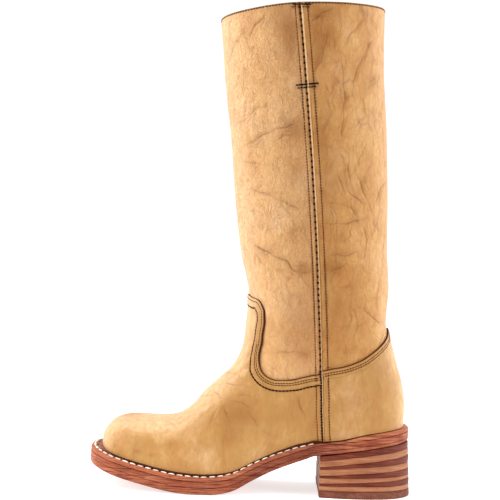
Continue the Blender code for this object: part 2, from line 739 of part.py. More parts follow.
def make_heel(parts):
    """Each lift is a slice of the heel between two joints; the last one stands on the floor."""
    front, back = 0.0, 0.0
    for lift in HEEL_STACK:
        top = heel_ring(front, back, -GAP / 2)
        front += lift["front"]
        back += lift["back"]
        foot = heel_ring(front, back, 0.0 if lift is HEEL_STACK[-1] else GAP / 2)
        count = len(top)
        faces = [tuple(range(count)), tuple(range(2 * count - 1, count - 1, -1))]
        faces += [(i, i + count, (i + 1) % count + count, (i + 1) % count) for i in range(count)]
        piece = add_mesh(lift["name"], np.concatenate([top, foot]), faces, parts, lift["leather"])
        face_outwards(piece)
        smooth_shading(piece)


def main():
    clear_scene()
    parts = new_collection("campus_boot")
    cutters = new_collection("cutters")
    both_sides = (-FAR, FAR)
    outer_side = (-FAR, 0.0)
    inner_side = (0.0, FAR)
    make_upper(parts)
    make_overlay("vamp", vamp_outline(), both_sides, OVERLAY, OVERLAY_ROWS, parts, cutters,
                 "overlay_leather")
    make_overlay("counter", counter_outline(), both_sides, OVERLAY, OVERLAY_ROWS, parts, cutters,
                 "overlay_leather")
    for name, side in (("piping_outer", outer_side), ("piping_inner", inner_side)):
        make_overlay(name, piping_outline(), side, PIPING_THICKNESS, ROWS + 1, parts, cutters,
                     "piping_leather")
    for name, side in (("pull_strap_outer", outer_side), ("pull_strap_inner", inner_side)):
        make_strap(name, side, parts, cutters)
    make_insole(parts)
    make_welt(parts, cutters)
    make_midsole(parts)
    make_outsole(parts)
    make_heel(parts)


main()
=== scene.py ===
"""The looks of a tan campus boot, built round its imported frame.

Toe at -X, outer side at -Y, floor at z = 0. Lengths are millimetres in this file, and are
turned to the frame's metres where a mesh, a light or a material is written. A place on the
leg is (column, row) on the upper's skin, which LastSkin reads from the frame.
"""

import logging
import math
from dataclasses import dataclass, field
from enum import Enum
from functools import cache
from typing import Any, Callable

import bmesh
import bpy
import numpy as np
from mathutils import Matrix, Vector
from mathutils.bvhtree import BVHTree
from mathutils.geometry import barycentric_transform, delaunay_2d_cdt
from mathutils.kdtree import KDTree


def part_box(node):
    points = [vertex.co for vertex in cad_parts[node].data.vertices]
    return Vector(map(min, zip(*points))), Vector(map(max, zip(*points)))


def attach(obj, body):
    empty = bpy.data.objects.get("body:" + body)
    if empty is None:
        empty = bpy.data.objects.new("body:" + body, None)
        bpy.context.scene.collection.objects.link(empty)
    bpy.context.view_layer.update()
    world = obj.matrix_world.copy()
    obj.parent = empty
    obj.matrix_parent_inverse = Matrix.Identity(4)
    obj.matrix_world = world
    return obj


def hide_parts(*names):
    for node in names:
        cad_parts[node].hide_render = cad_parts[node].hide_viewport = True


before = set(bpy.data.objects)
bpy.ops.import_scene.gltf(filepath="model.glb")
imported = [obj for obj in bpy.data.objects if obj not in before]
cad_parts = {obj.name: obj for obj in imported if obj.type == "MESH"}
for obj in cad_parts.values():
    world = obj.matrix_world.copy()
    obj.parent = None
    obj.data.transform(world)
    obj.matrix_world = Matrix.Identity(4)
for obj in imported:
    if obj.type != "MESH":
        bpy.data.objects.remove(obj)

log = logging.getLogger("campus_boot")

Array = np.ndarray
Piece = bpy.types.Object
Tree = bpy.types.NodeTree
Socket = bpy.types.NodeSocket

MM = 0.001
CAMERA_PLACE = (-8.0, -1000.0, 200.0)
CAMERA_LENS = 84.7
CAMERA_SENSOR = 36.0
CAMERA_ROLL = math.radians(2.4)
BODY = "root"
WELD = 2e-6
SHARP_EDGE = math.radians(50.0)


class Side(Enum):
    """The two sides of the leg, by the sign of Y."""

    OUTER = -1
    INNER = 1

    @property
    def label(self) -> str:
        """What the side is called in the names of pieces."""
        return self.name.lower()


# ---------------------------------------------------------------- helpers


def smooth(low: float, high: float, value: Array) -> Array:
    """Eases from 0 at low to 1 at high."""
    share = np.clip((value - low) / (high - low), 0.0, 1.0)
    return share * share * (3.0 - 2.0 * share)


def bell(value: Array, width: float) -> Array:
    """A bell of height 1 round zero, of that width."""
    return np.exp(-((value / width) ** 2))


def unit(vectors: Array) -> Array:
    """The vectors at length 1."""
    return vectors / np.maximum(np.linalg.norm(vectors, axis=-1, keepdims=True), 1e-12)


def lengths(points: Array) -> Array:
    """How far along a line each of its points lies."""
    return np.concatenate([[0], np.cumsum(np.linalg.norm(np.diff(points, axis=0), axis=1))])


def between(places: Array, marks: Array, values: Array) -> Array:
    """Values of several columns, read at places between their marks."""
    return np.stack([np.interp(places, marks, column) for column in values.T], axis=1)


def curve(a: Array, b: Array, c: Array, d: Array, t: Array | float) -> Array:
    """The smooth curve from b to c that also minds a and d, at a share t of the way."""
    return 0.5 * (2 * b + (c - a) * t + (2 * a - 5 * b + 4 * c - d) * t**2 + (3 * b - a - 3 * c + d) * t**3)


def spline(points: Array, spacing: float) -> Array:
    """Draws a smooth line through points.

    Args:
        points: The points to pass, one per line, in any number of dimensions.
        spacing: The largest step along the result.

    Returns:
        Points along the line, evenly spaced.
    """
    held = np.vstack([2 * points[0] - points[1], points, 2 * points[-1] - points[-2]])
    share = np.linspace(0, 1, 24, endpoint=False)[:, None]
    fine = [curve(a, b, c, d, share) for a, b, c, d in zip(held, held[1:], held[2:], held[3:])]
    fine = np.vstack(fine + [held[-2][None]])
    along = lengths(fine)
    count = max(int(math.ceil(along[-1] / spacing)), 2) + 1
    return between(np.linspace(0, along[-1], count), along, fine)


def spaced(points: Array, pitch: float) -> tuple[Array, Array, Array, Array]:
    """Places the middles of stitches along a line.

    Args:
        points: The line.
        pitch: How far apart the middles lie, about.

    Returns:
        How far along the line its points and the middles lie, the middles, and their directions.
    """
    along = lengths(points)
    count = max(int(along[-1] / pitch), 1)
    middles = (np.arange(count) + 0.5) * along[-1] / count
    return along, middles, between(middles, along, points), unit(between(middles, along, np.gradient(points, axis=0)))


class Nearest:
    """Finds the nearest of a line's points, and on which side of the line a place lies."""

    def __init__(self, points: Array, lefts: Array) -> None:
        """Takes the line's points and the direction to its left at each."""
        self.points, self.lefts = points, lefts
        self._tree = KDTree(len(points))
        for k, point in enumerate(points):
            self._tree.insert(point, k)
        self._tree.balance()

    def signed(self, places: Array) -> tuple[Array, Array]:
        """How far to the left each place lies, and the number of its nearest point."""
        found = [self._tree.find(p) for p in places]
        index = np.array([k for _, k, _ in found])
        gap = np.array([distance for _, _, distance in found])
        ahead = np.sum((places - self.points[index]) * self.lefts[index], axis=1)
        return gap * np.where(ahead > 0, 1.0, -1.0), index


def select_only(piece: Piece | None = None) -> None:
    """Leaves edit mode and clears the selection, the frame's nodes included, but for one piece."""
    if bpy.context.object and bpy.context.object.mode != "OBJECT":
        bpy.ops.object.mode_set(mode="OBJECT")
    bpy.ops.object.select_all(action="DESELECT")
    if piece:
        bpy.context.view_layer.objects.active = piece
        piece.select_set(True)


def in_edit_mode(piece: Piece, *steps: Callable[[], Any]) -> None:
    """Runs edit-mode steps, in order, on a piece with all of it selected."""
    select_only(piece)
    bpy.ops.object.mode_set(mode="EDIT")
    bpy.ops.mesh.select_all(action="SELECT")
    for step in steps:
        step()
    bpy.ops.object.mode_set(mode="OBJECT")


def weld(piece: Piece, ends: bool, outwards: bool = True) -> None:
    """Joins points that lie on each other.

    Args:
        piece: The piece.
        ends: Whether its open ends are then filled.
        outwards: Whether its faces are then turned outwards.
    """
    steps: list[Callable[[], Any]] = [lambda: bpy.ops.mesh.remove_doubles(threshold=WELD)]
    if ends:
        steps.append(lambda: bpy.ops.mesh.fill_holes(sides=0))
    if outwards:
        steps.append(lambda: bpy.ops.mesh.select_all(action="SELECT"))
        steps.append(lambda: bpy.ops.mesh.normals_make_consistent(inside=False))
    in_edit_mode(piece, *steps)


def set_attribute(piece: Piece, name: str, values: Array) -> None:
    """Gives each vertex of a piece one number that its material reads."""
    layer = piece.data.attributes.new(name, "FLOAT", "POINT")
    layer.data.foreach_set("value", values.astype(np.float32).ravel())


def lay_grid(name: str, points: Array, **attributes: Array) -> Piece:
    """Adds a primitive grid and lays its crossings on the points.

    Args:
        name: The piece's name.
        points: Rows by columns of places in millimetres.
        attributes: Rows by columns of numbers, by the attribute's name.

    Returns:
        The piece, a single sheet whose sides point where columns cross rows.
    """
    rows, columns = points.shape[:2]
    select_only()
    bpy.ops.mesh.primitive_grid_add(x_subdivisions=columns - 1, y_subdivisions=rows - 1, size=0.1)
    piece = bpy.context.object
    piece.name = name
    piece.data.vertices.foreach_set("co", (points.reshape(-1, 3) * MM).astype(np.float32).ravel())
    piece.data.update()
    for key, values in attributes.items():
        set_attribute(piece, key, values)
    return piece


def roll(name: str, points: Array, ends: bool, **attributes: Array) -> Piece:
    """Lays a grid whose last column, or row, comes back to its first, as a closed tube.

    Args:
        name: The piece's name.
        points: Places along the tube by places round it, in millimetres.
        ends: Whether the tube has open ends to fill.
        attributes: The same grid of numbers, by the attribute's name.

    Returns:
        The piece, its faces turned outwards.
    """
    piece = lay_grid(name, points, **attributes)
    weld(piece, ends)
    return piece


def link_mesh(name: str, points: Array, faces: list[tuple[int, ...]]) -> Piece:
    """Makes a piece from points in millimetres and their faces."""
    mesh = bpy.data.meshes.new(name)
    mesh.from_pydata((points * MM).tolist(), [], faces)
    mesh.update()
    piece = bpy.data.objects.new(name, mesh)
    bpy.context.scene.collection.objects.link(piece)
    return piece


def thicken(piece: Piece, thickness: float, flip: bool = True) -> None:
    """Gives a sheet its thickness behind its face.

    Args:
        piece: The sheet.
        thickness: In millimetres.
        flip: Whether the sheet's face has to be turned first.
    """
    if flip:
        in_edit_mode(piece, lambda: bpy.ops.mesh.flip_normals())
    select_only(piece)
    wall = piece.modifiers.new("wall", "SOLIDIFY")
    wall.thickness, wall.offset = thickness * MM, -1.0
    bpy.ops.object.modifier_apply(modifier=wall.name)


def drop(piece: Piece, outside: Array) -> None:
    """Deletes the vertices of a piece for which a mask is true."""
    in_edit_mode(
        piece, lambda: bpy.ops.mesh.select_mode(type="VERT"), lambda: bpy.ops.mesh.select_all(action="DESELECT")
    )
    piece.data.vertices.foreach_set("select", outside.ravel())
    bpy.ops.object.mode_set(mode="EDIT")
    bpy.ops.mesh.delete(type="VERT")
    bpy.ops.mesh.select_all(action="SELECT")
    bpy.ops.mesh.delete_loose()
    bpy.ops.object.mode_set(mode="OBJECT")


def finish_piece(piece: Piece, finish: "Finish", slot: str, *nodes: str) -> None:
    """Smooths and dresses a piece, and hides the frame's nodes that it replaces.

    Args:
        piece: The finished mesh.
        finish: Its finish.
        slot: Not used.
        nodes: The frame's nodes that it replaces.
    """
    select_only(piece)
    bpy.ops.object.shade_smooth_by_angle(angle=SHARP_EDGE)
    piece.data.materials.clear()
    piece.data.materials.append(dressed(finish))
    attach(piece, BODY)
    if nodes:
        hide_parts(*nodes)
    log.info("%s: %d vertices", piece.name, len(piece.data.vertices))


# ---------------------------------------------------------------- finishes


def colour(code: str) -> tuple[float, float, float, float]:
    """An sRGB hex colour as linear light, with alpha 1."""
    parts = [int(code[k : k + 2], 16) / 255 for k in (1, 3, 5)]
    return (*[p / 12.92 if p <= 0.04045 else ((p + 0.055) / 1.055) ** 2.4 for p in parts], 1.0)


def add_node(
    tree: Tree,
    kind: str,
    inputs: dict[Any, Any] | None = None,
    output: int | str = 0,
    stops: dict[float, Any] | None = None,
    **settings: Any,
) -> Socket:
    """Adds one node with its settings and links.

    Args:
        tree: The material's tree.
        kind: The node's type name, after ShaderNode.
        inputs: For each socket, by name or number, a value or the output that feeds it.
        output: Which of its outputs is wanted.
        stops: A ramp's colours, or grey numbers, at their places from 0 to 1.
        settings: The node's own properties.

    Returns:
        The wanted output.
    """
    made = tree.nodes.new("ShaderNode" + kind)
    for name, value in settings.items():
        setattr(made, name, value)
    for name, value in (inputs or {}).items():
        if isinstance(value, Socket):
            tree.links.new(value, made.inputs[name])
        else:
            made.inputs[name].default_value = value
    if stops:
        elements = made.color_ramp.elements
        while len(elements) < len(stops):
            elements.new(0.5)
        for element, (place, shade) in zip(elements, sorted(stops.items())):
            element.position = place
            element.color = (shade, shade, shade, 1.0) if isinstance(shade, float) else shade
    return made.outputs[output]


def per_size(size: float) -> float:
    """The texture scale that gives a pattern features of this many millimetres."""
    return 1.0 / (size * MM)


@dataclass(frozen=True)
class Finish:
    """What every finish has: a material with one shader whose constants are set on its own sockets.

    relief is how high its pattern stands, in millimetres.
    """

    name: str
    roughness: float = 0.5
    specular: float = 0.4
    coat: float = 0.0
    coat_roughness: float = 0.3
    relief: float = 0.1

    def start(self) -> tuple[Tree, bpy.types.Node, Socket]:
        """Makes the material and returns its tree, its shader and the Object coordinates."""
        material = bpy.data.materials.new(self.name)
        material.use_nodes = True
        tree = material.node_tree
        shader = tree.nodes["Principled BSDF"]
        shader.inputs["Roughness"].default_value = self.roughness
        shader.inputs["Specular IOR Level"].default_value = self.specular
        shader.inputs["Coat Weight"].default_value = self.coat
        shader.inputs["Coat Roughness"].default_value = self.coat_roughness
        return tree, shader, add_node(tree, "TexCoord", output="Object")

    def make(self) -> None:
        """Makes the material; each kind of finish has its own way."""
        raise NotImplementedError

    @staticmethod
    def painted(tree: Tree, base: Socket, *layers: tuple[Socket, float | dict[float, float], str]) -> Socket:
        """Lays colours over a base, one after another.

        Args:
            tree: The material's tree.
            base: The colour below.
            layers: For each, the value that brings it out, the factor or the ramp that turns
                this into its share, and its colour.

        Returns:
            The colour on top.
        """
        for value, share, code in layers:
            if isinstance(share, dict):
                shown = add_node(tree, "ValToRGB", {"Fac": value}, stops=share)
            else:
                shown = add_node(tree, "Math", {0: value, 1: share}, operation="MULTIPLY", use_clamp=True)
            base = add_node(tree, "Mix", {0: shown, 6: base, 7: colour(code)}, 2, data_type="RGBA")
        return base

    def cover(self, tree: Tree, shader: bpy.types.Node, base: Socket, height: Socket, strength: float) -> None:
        """Gives the shader its colour, and a relief of a strength from the height of a pattern."""
        tree.links.new(base, shader.inputs["Base Color"])
        bump = add_node(tree, "Bump", {"Strength": strength, "Distance": self.relief * MM, "Height": height})
        tree.links.new(bump, shader.inputs["Normal"])

    @staticmethod
    def summed(tree: Tree, *parts: tuple[Socket, Any], clamp: bool = False) -> Socket:
        """The sum of values, each times its factor; with clamp it never leaves 0 to 1."""
        total: Any = 0.0
        for value, factor in parts:
            inputs = {0: value, 1: factor, 2: total}
            total = add_node(tree, "Math", inputs, operation="MULTIPLY_ADD", use_clamp=clamp)
        return total


@dataclass(frozen=True)
class PullUpLeather(Finish):
    """Oil-tanned cowhide with a waxed grain: warm tan, painted paler where it turns from the camera,
    as a highlight towards the side lamps and partly as the paling of stretched pull-up leather, and
    painted darker as shade in its folds, with soft waves, long growth wrinkles and a fine creased
    grain where it was drummed.

    Its meshes carry five numbers: bend (how far the leather turns round the leg,
    which paints it paler, mostly as a highlight and partly as pull-up paling), tone (soft stain
    marks that are partly painted shade, the inked cut edges, and painted shade beside the seams, in
    their grooves, along the welt and along the bold row), grain (how much of the fine grain it has),
    fold (how strong the nearest crease is, which paints shade in and beside it) and gap (how far
    off that crease lies, in millimetres, with a sign for the side). Fields that end in _size are the
    millimetres between a pattern's features. lean is the angle in degrees, from upright towards the
    heel, along which the hide was pulled, and stretch the scale that way.
    """

    # pale also paints the highlight; stain and vein also paint the shade that tone, fold and the crease cores lay on.
    pale: str = "#E8B780"
    body: str = "#D19850"
    deep: str = "#BA7E3E"
    rust: str = "#BC6C30"
    stain: str = "#96591F"
    vein: str = "#80401A"
    veined: float = 0.24
    lean: float = 32.0
    stretch: float = 0.3
    cloud_size: float = 46.0
    patch_size: float = 30.0
    rust_size: float = 17.0
    wave_size: float = 13.0
    wave_height: float = 1.3
    ripple_size: float = 9.0
    mottle_size: float = 3.2
    pore_size: float = 0.8
    net_size: float = 15.0
    fine_net_size: float = 6.0
    grain_size: float = 1.7
    ragged_size: float = 4.0
    relief: float = 0.45

    @staticmethod
    def _swayed(tree: Tree, place: Socket, size: float, sway: float) -> Socket:
        """Coordinates pushed about by noise of a size, as far as sway, both in millimetres."""
        push = add_node(tree, "TexNoise", {"Vector": place, "Scale": per_size(size), "Detail": 3.0}, "Color")
        return add_node(tree, "VectorMath", {0: push, 1: (sway * MM,) * 3, 2: place}, operation="MULTIPLY_ADD")

    def _leaned(self, tree: Tree, place: Socket, turn: float = 0.0, stretch: float | None = None) -> Socket:
        """Coordinates in which a pattern runs long in one direction of the side view.

        Args:
            tree: The material's tree.
            place: The coordinates to turn.
            turn: Degrees from the direction in which the hide was pulled.
            stretch: The scale along that direction, where it isn't the hide's own.

        Returns:
            The turned coordinates.
        """
        angle = math.radians(-(self.lean + turn))
        inputs = {"Vector": place, "Rotation": (0.0, angle, 0.0), "Scale": (1.0, 1.0, stretch or self.stretch)}
        return add_node(tree, "Mapping", inputs)

    def _wrinkles(self, tree: Tree, swayed: Socket, patches: Socket) -> Socket:
        """Growth wrinkles: two nets of crisp creases that take turns over the hide, and a finer one."""
        parts = []
        for turn, stretch, size, wide, share in (
            (0.0, None, self.net_size, 0.08, {0.47: 0.0, 0.62: 1.0}),
            (75.0, None, self.net_size * 0.8, 0.07, {0.38: 1.0, 0.53: 0.0}),
            (-20.0, 0.55, self.fine_net_size, 0.09, 0.4),
        ):
            inputs = {"Vector": self._leaned(tree, swayed, turn, stretch), "Scale": per_size(size), "Randomness": 1.0}
            cells = add_node(tree, "TexVoronoi", inputs, "Distance", feature="DISTANCE_TO_EDGE")
            net = add_node(tree, "ValToRGB", {"Fac": cells}, stops={0.0: 1.0, wide * 0.4: 0.45, wide: 0.0})
            if isinstance(share, dict):
                share = add_node(tree, "ValToRGB", {"Fac": patches}, stops=share)
            parts.append((net, share))
        return self.summed(tree, *parts, clamp=True)

    def _valleys(self, tree: Tree, where: Socket, size: float, wide: float) -> Socket:
        """Winding valleys where a cloud passes through its middle value: 1 in a valley, 0 beside."""
        inputs = {"Vector": where, "Scale": per_size(size), "Detail": 2.0, "Roughness": 0.6}
        cloud = add_node(tree, "TexNoise", inputs)
        off = add_node(tree, "Math", {0: cloud, 1: 2.0, 2: -1.0}, operation="MULTIPLY_ADD")
        off = add_node(tree, "Math", {0: off}, operation="ABSOLUTE")
        return add_node(tree, "ValToRGB", {"Fac": off}, stops={0.0: 1.0, wide * 0.4: 0.5, wide: 0.0})

    def _grained(self, tree: Tree, place: Socket, patches: Socket) -> Socket:
        """The valleys of a drummed grain, drawn out in one direction here and in another there."""
        held = self._swayed(tree, place, 14.0, 5.0)
        kinds = [
            self._valleys(tree, self._leaned(tree, held, turn, 0.5), self.grain_size, 0.13) for turn in (0.0, 60.0)
        ]
        share = add_node(tree, "ValToRGB", {"Fac": patches}, stops={0.44: 0.0, 0.56: 1.0})
        return add_node(tree, "Mix", {0: share, 2: kinds[1], 3: kinds[0]}, data_type="FLOAT")

    @staticmethod
    def _crisp(tree: Tree, cloud: Socket, gap: Socket) -> Socket:
        """The ragged core of a crease, from a cloud and how far off the crease lies."""
        ragged = add_node(tree, "Math", {0: cloud, 1: 3.0, 2: -1.5}, operation="MULTIPLY_ADD", use_clamp=True)
        off = add_node(tree, "Math", {0: ragged, 1: gap}, operation="ADD")
        off = add_node(tree, "Math", {0: off}, operation="ABSOLUTE")
        off = add_node(tree, "Math", {0: off, 1: 0.5}, operation="MULTIPLY", use_clamp=True)
        return add_node(tree, "ValToRGB", {"Fac": off}, stops={0.0: 1.0, 0.2: 0.65, 0.6: 0.0})

    def make(self) -> None:
        """Makes the material, with its clouds, wrinkles, creases, grain and pores."""
        tree, shader, place = self.start()
        swayed = self._swayed(tree, place, 16.0, 12.0)
        along = self._leaned(tree, swayed)
        clouds, patches, rusty, waves, mottle, pores, rags = (
            add_node(tree, "TexNoise", {"Vector": where, "Scale": per_size(size), "Detail": detail, "Roughness": 0.6})
            for where, size, detail in (
                (place, self.cloud_size, 4.0),
                (place, self.patch_size, 2.0),
                (along, self.rust_size, 5.0),
                (along, self.wave_size, 3.0),
                (along, self.mottle_size, 4.0),
                (place, self.pore_size, 3.0),
                (place, self.ragged_size, 3.0),
            )
        )
        bend, tone, grain, fold, gap = (
            add_node(tree, "Attribute", output="Fac", attribute_name=name)
            for name in ("bend", "tone", "grain", "fold", "gap")
        )
        wrinkles = self._wrinkles(tree, swayed, patches)
        ripples = self._valleys(tree, along, self.ripple_size, 0.16)
        grained, crease = (
            add_node(tree, "Math", {0: pattern, 1: share}, operation="MULTIPLY")
            for pattern, share in ((self._grained(tree, place, patches), grain), (self._crisp(tree, rags, gap), fold))
        )
        stops = {0.3: colour(self.deep), 0.5: colour(self.body), 0.8: colour(self.pale)}
        base = self.painted(
            tree,
            add_node(tree, "ValToRGB", {"Fac": clouds}, stops=stops),
            (rusty, {0.52: 0.0, 0.76: 0.4}, self.rust),
            # Painted highlight where the leather turns from the camera, partly the paling of stretched pull-up
            # leather.
            (bend, 0.75, self.pale),
            (mottle, {0.42: 0.3, 0.62: 0.0}, self.deep),
            (ripples, 0.22, self.rust),
            (wrinkles, self.veined, self.vein),
            (grained, 0.22, self.stain),
            (tone, 1.0, self.stain),
            # fold lays painted shade round the creases, and crease paints shade in their cores.
            (fold, 0.35, self.stain),
            (crease, 0.85, self.vein),
        )
        tree.links.new(base, shader.inputs["Base Color"])
        slow = self.summed(tree, (waves, 1.0), (ripples, -0.12))
        slow = add_node(tree, "Bump", {"Strength": 1.0, "Distance": self.wave_height * MM, "Height": slow})
        fine = self.summed(tree, (pores, 0.3), (grained, -0.7), (wrinkles, -0.45), (crease, -1.6), (mottle, 0.5))
        inputs = {"Strength": 1.0, "Distance": self.relief * MM, "Height": fine, "Normal": slow}
        tree.links.new(add_node(tree, "Bump", inputs), shader.inputs["Normal"])
        inputs = {"Value": clouds, "To Min": self.roughness + 0.08, "To Max": self.roughness - 0.08}
        tree.links.new(add_node(tree, "MapRange", inputs), shader.inputs["Roughness"])


@dataclass(frozen=True)
class CutLeather(Finish):
    """The burnished edge of layered sole leather: fibres that run along the cut, darker where the wax
    has sunk in, and on the welt and the rand painted darker as shade where they run under the
    upper, with pale nicks. fibre is a fibre's length and thickness."""

    light: str = "#B8704E"
    dark: str = "#8A4228"
    worn: str = "#C58A68"
    # wax is also the colour of the painted shade under the upper.
    wax: str = "#480E06"
    fibre: tuple[float, float] = (24.0, 1.0)
    stain_size: float = 14.0
    relief: float = 0.2

    def make(self) -> None:
        """Makes the material, with fibres drawn long and thin along the edge."""
        tree, shader, place = self.start()
        along, across = self.fibre
        squeezed = add_node(tree, "Mapping", {"Vector": place, "Scale": (1.0, 1.0, along / across)})
        inputs = {"Vector": squeezed, "Scale": per_size(along), "Detail": 5.0, "Roughness": 0.6}
        fibres = add_node(tree, "TexNoise", inputs)
        inputs = {"Vector": place, "Scale": per_size(self.stain_size), "Detail": 4.0, "Roughness": 0.7}
        stain = add_node(tree, "TexNoise", inputs)
        tone = add_node(tree, "Attribute", output="Fac", attribute_name="tone")
        stops = {0.35: colour(self.dark), 0.49: colour(self.light), 0.68: colour(self.worn)}
        base = add_node(tree, "ValToRGB", {"Fac": fibres}, stops=stops)
        base = self.painted(tree, base, (stain, {0.42: 0.0, 0.7: 0.6}, self.dark), (tone, 0.8, self.wax))
        self.cover(tree, shader, base, fibres, 0.6)


@dataclass(frozen=True)
class WaxedThread(Finish):
    """Bonded sewing thread with a wax film: two plies whose twist shows as a fine diagonal."""

    light: str = "#5E2A12"
    dark: str = "#34140A"
    ply: float = 0.8
    relief: float = 0.15

    def make(self) -> None:
        """Makes the material, with the twist as bands."""
        tree, shader, place = self.start()
        inputs = {"Vector": place, "Scale": per_size(self.ply) / 20.0, "Distortion": 1.5, "Detail": 2.0}
        twist = add_node(tree, "TexWave", inputs, "Fac", bands_direction="DIAGONAL")
        base = add_node(tree, "ValToRGB", {"Fac": twist}, stops={0.1: colour(self.dark), 0.8: colour(self.light)})
        self.cover(tree, shader, base, twist, 0.4)


@dataclass(frozen=True)
class PlainHide(Finish):
    """Undyed lining or insole leather, rolled smooth: an even mat surface with a faint mottle. Its tone darkens it
    towards ink, the colour of inked edges and of painted shade.
    """

    light: str = "#D9B58A"
    dark: str = "#B98F62"
    ink: str = "#4A2412"
    mottle: float = 9.0
    pore_size: float = 0.6

    def make(self) -> None:
        """Makes the material, with its mottle and pores."""
        tree, shader, place = self.start()
        inputs = {"Vector": place, "Scale": per_size(self.mottle), "Detail": 5.0, "Roughness": 0.6}
        mottle = add_node(tree, "TexNoise", inputs)
        pores = add_node(tree, "TexNoise", {"Vector": place, "Scale": per_size(self.pore_size), "Detail": 2.0})
        tone = add_node(tree, "Attribute", output="Fac", attribute_name="tone")
        base = add_node(tree, "ValToRGB", {"Fac": mottle}, stops={0.3: colour(self.dark), 0.7: colour(self.light)})
        self.cover(tree, shader, self.painted(tree, base, (tone, 0.85, self.ink)), pores, 0.4)


FRONT_LEATHER = PullUpLeather(
    "pull_up_leather_drummed", 0.52, 0.2, 0.04, pale="#F6CC9E", body="#F0BD82", deep="#DCA46A", rust="#D08A50"
)
BACK_LEATHER = PullUpLeather(
    "pull_up_leather_waxed", 0.5, 0.2, 0.05, pale="#ECC08E", body="#DAA664", deep="#BF874A",
    veined=0.36, lean=14.0, net_size=17.0,
)
OVERLAY_LEATHER = PullUpLeather(
    "pull_up_leather_smooth", 0.48, 0.22, 0.06, 0.4, pale="#F0C799", body="#C49657", deep="#B08048", rust="#B5733A",
    veined=0.1, lean=60.0, net_size=22.0,
)
PIPING_LEATHER = PlainHide("folded_piping_leather", 0.45, 0.3, light="#EBC490", dark="#D6A66C", mottle=6.0)
LINING_LEATHER = PlainHide("lining_leather_rolled", 0.7, light="#DDBE95", dark="#CDA87A", mottle=14.0)
INSOLE_LEATHER = PlainHide("insole_leather_buffed", 0.75, light="#C99A68", dark="#A87748")
COLLAR_EDGE = PlainHide("collar_edge_burnished", 0.6, 0.2, light="#A06C3C", dark="#7C4A26", mottle=3.0)
# Dark beads at the overlays' inked cut edges, with painted shadow beside them.
EDGE_INK = PlainHide("edge_ink_burnished", 0.7, 0.1, light="#4A220C", dark="#2E1406", mottle=3.0)
# Dark line in the welt crease: inked and burnished, with painted shadow.
CREASE_INK = PlainHide("welt_crease_ink", 0.7, 0.08, light="#34120A", dark="#1C0704", mottle=3.0)
DARK_THREAD = WaxedThread("bonded_thread_dark", 0.7, 0.08, light="#3C190B", dark="#200B05")
ROW_THREAD = WaxedThread("bonded_thread_brown", 0.7, 0.1, light="#6A3418", dark="#42200F")
WELT_THREAD = WaxedThread("waxed_linen_thread_white", 0.55, light="#FFF6EC", dark="#E2CCB8", ply=0.9)
BEAD_THREAD = WaxedThread("waxed_linen_thread_soiled", 0.7, 0.1, light="#A08468", dark="#5C4030")
WELT_LEATHER = CutLeather(
    "welt_leather_burnished", 0.5, 0.25, 0.08, light="#B0603C", dark="#7E3A22", worn="#C48460"
)
SOLE_LEATHER = CutLeather(
    "sole_leather_burnished_edge", 0.55, 0.2, 0.05, light="#9E5030", dark="#641E10", worn="#BE7E5E"
)
LIGHT_LIFT = CutLeather("stacked_leather_light", 0.55, 0.25, light="#A86C48", dark="#905638", worn="#B88260")
DARK_LIFT = CutLeather("stacked_leather_dark", 0.55, 0.2, 0.05, light="#702C1A", dark="#521C0E", worn="#84422C")
TOP_LIFT = CutLeather(
    "moulded_rubber_top_lift", 0.65, 0.2, light="#784430", dark="#643624", worn="#845040",
    fibre=(6.0, 2.0), relief=0.12,
)


@cache
def dressed(finish: Finish) -> bpy.types.Material:
    """A finish's material, made once."""
    finish.make()
    return bpy.data.materials[finish.name]


# ---------------------------------------------------------------- the skin


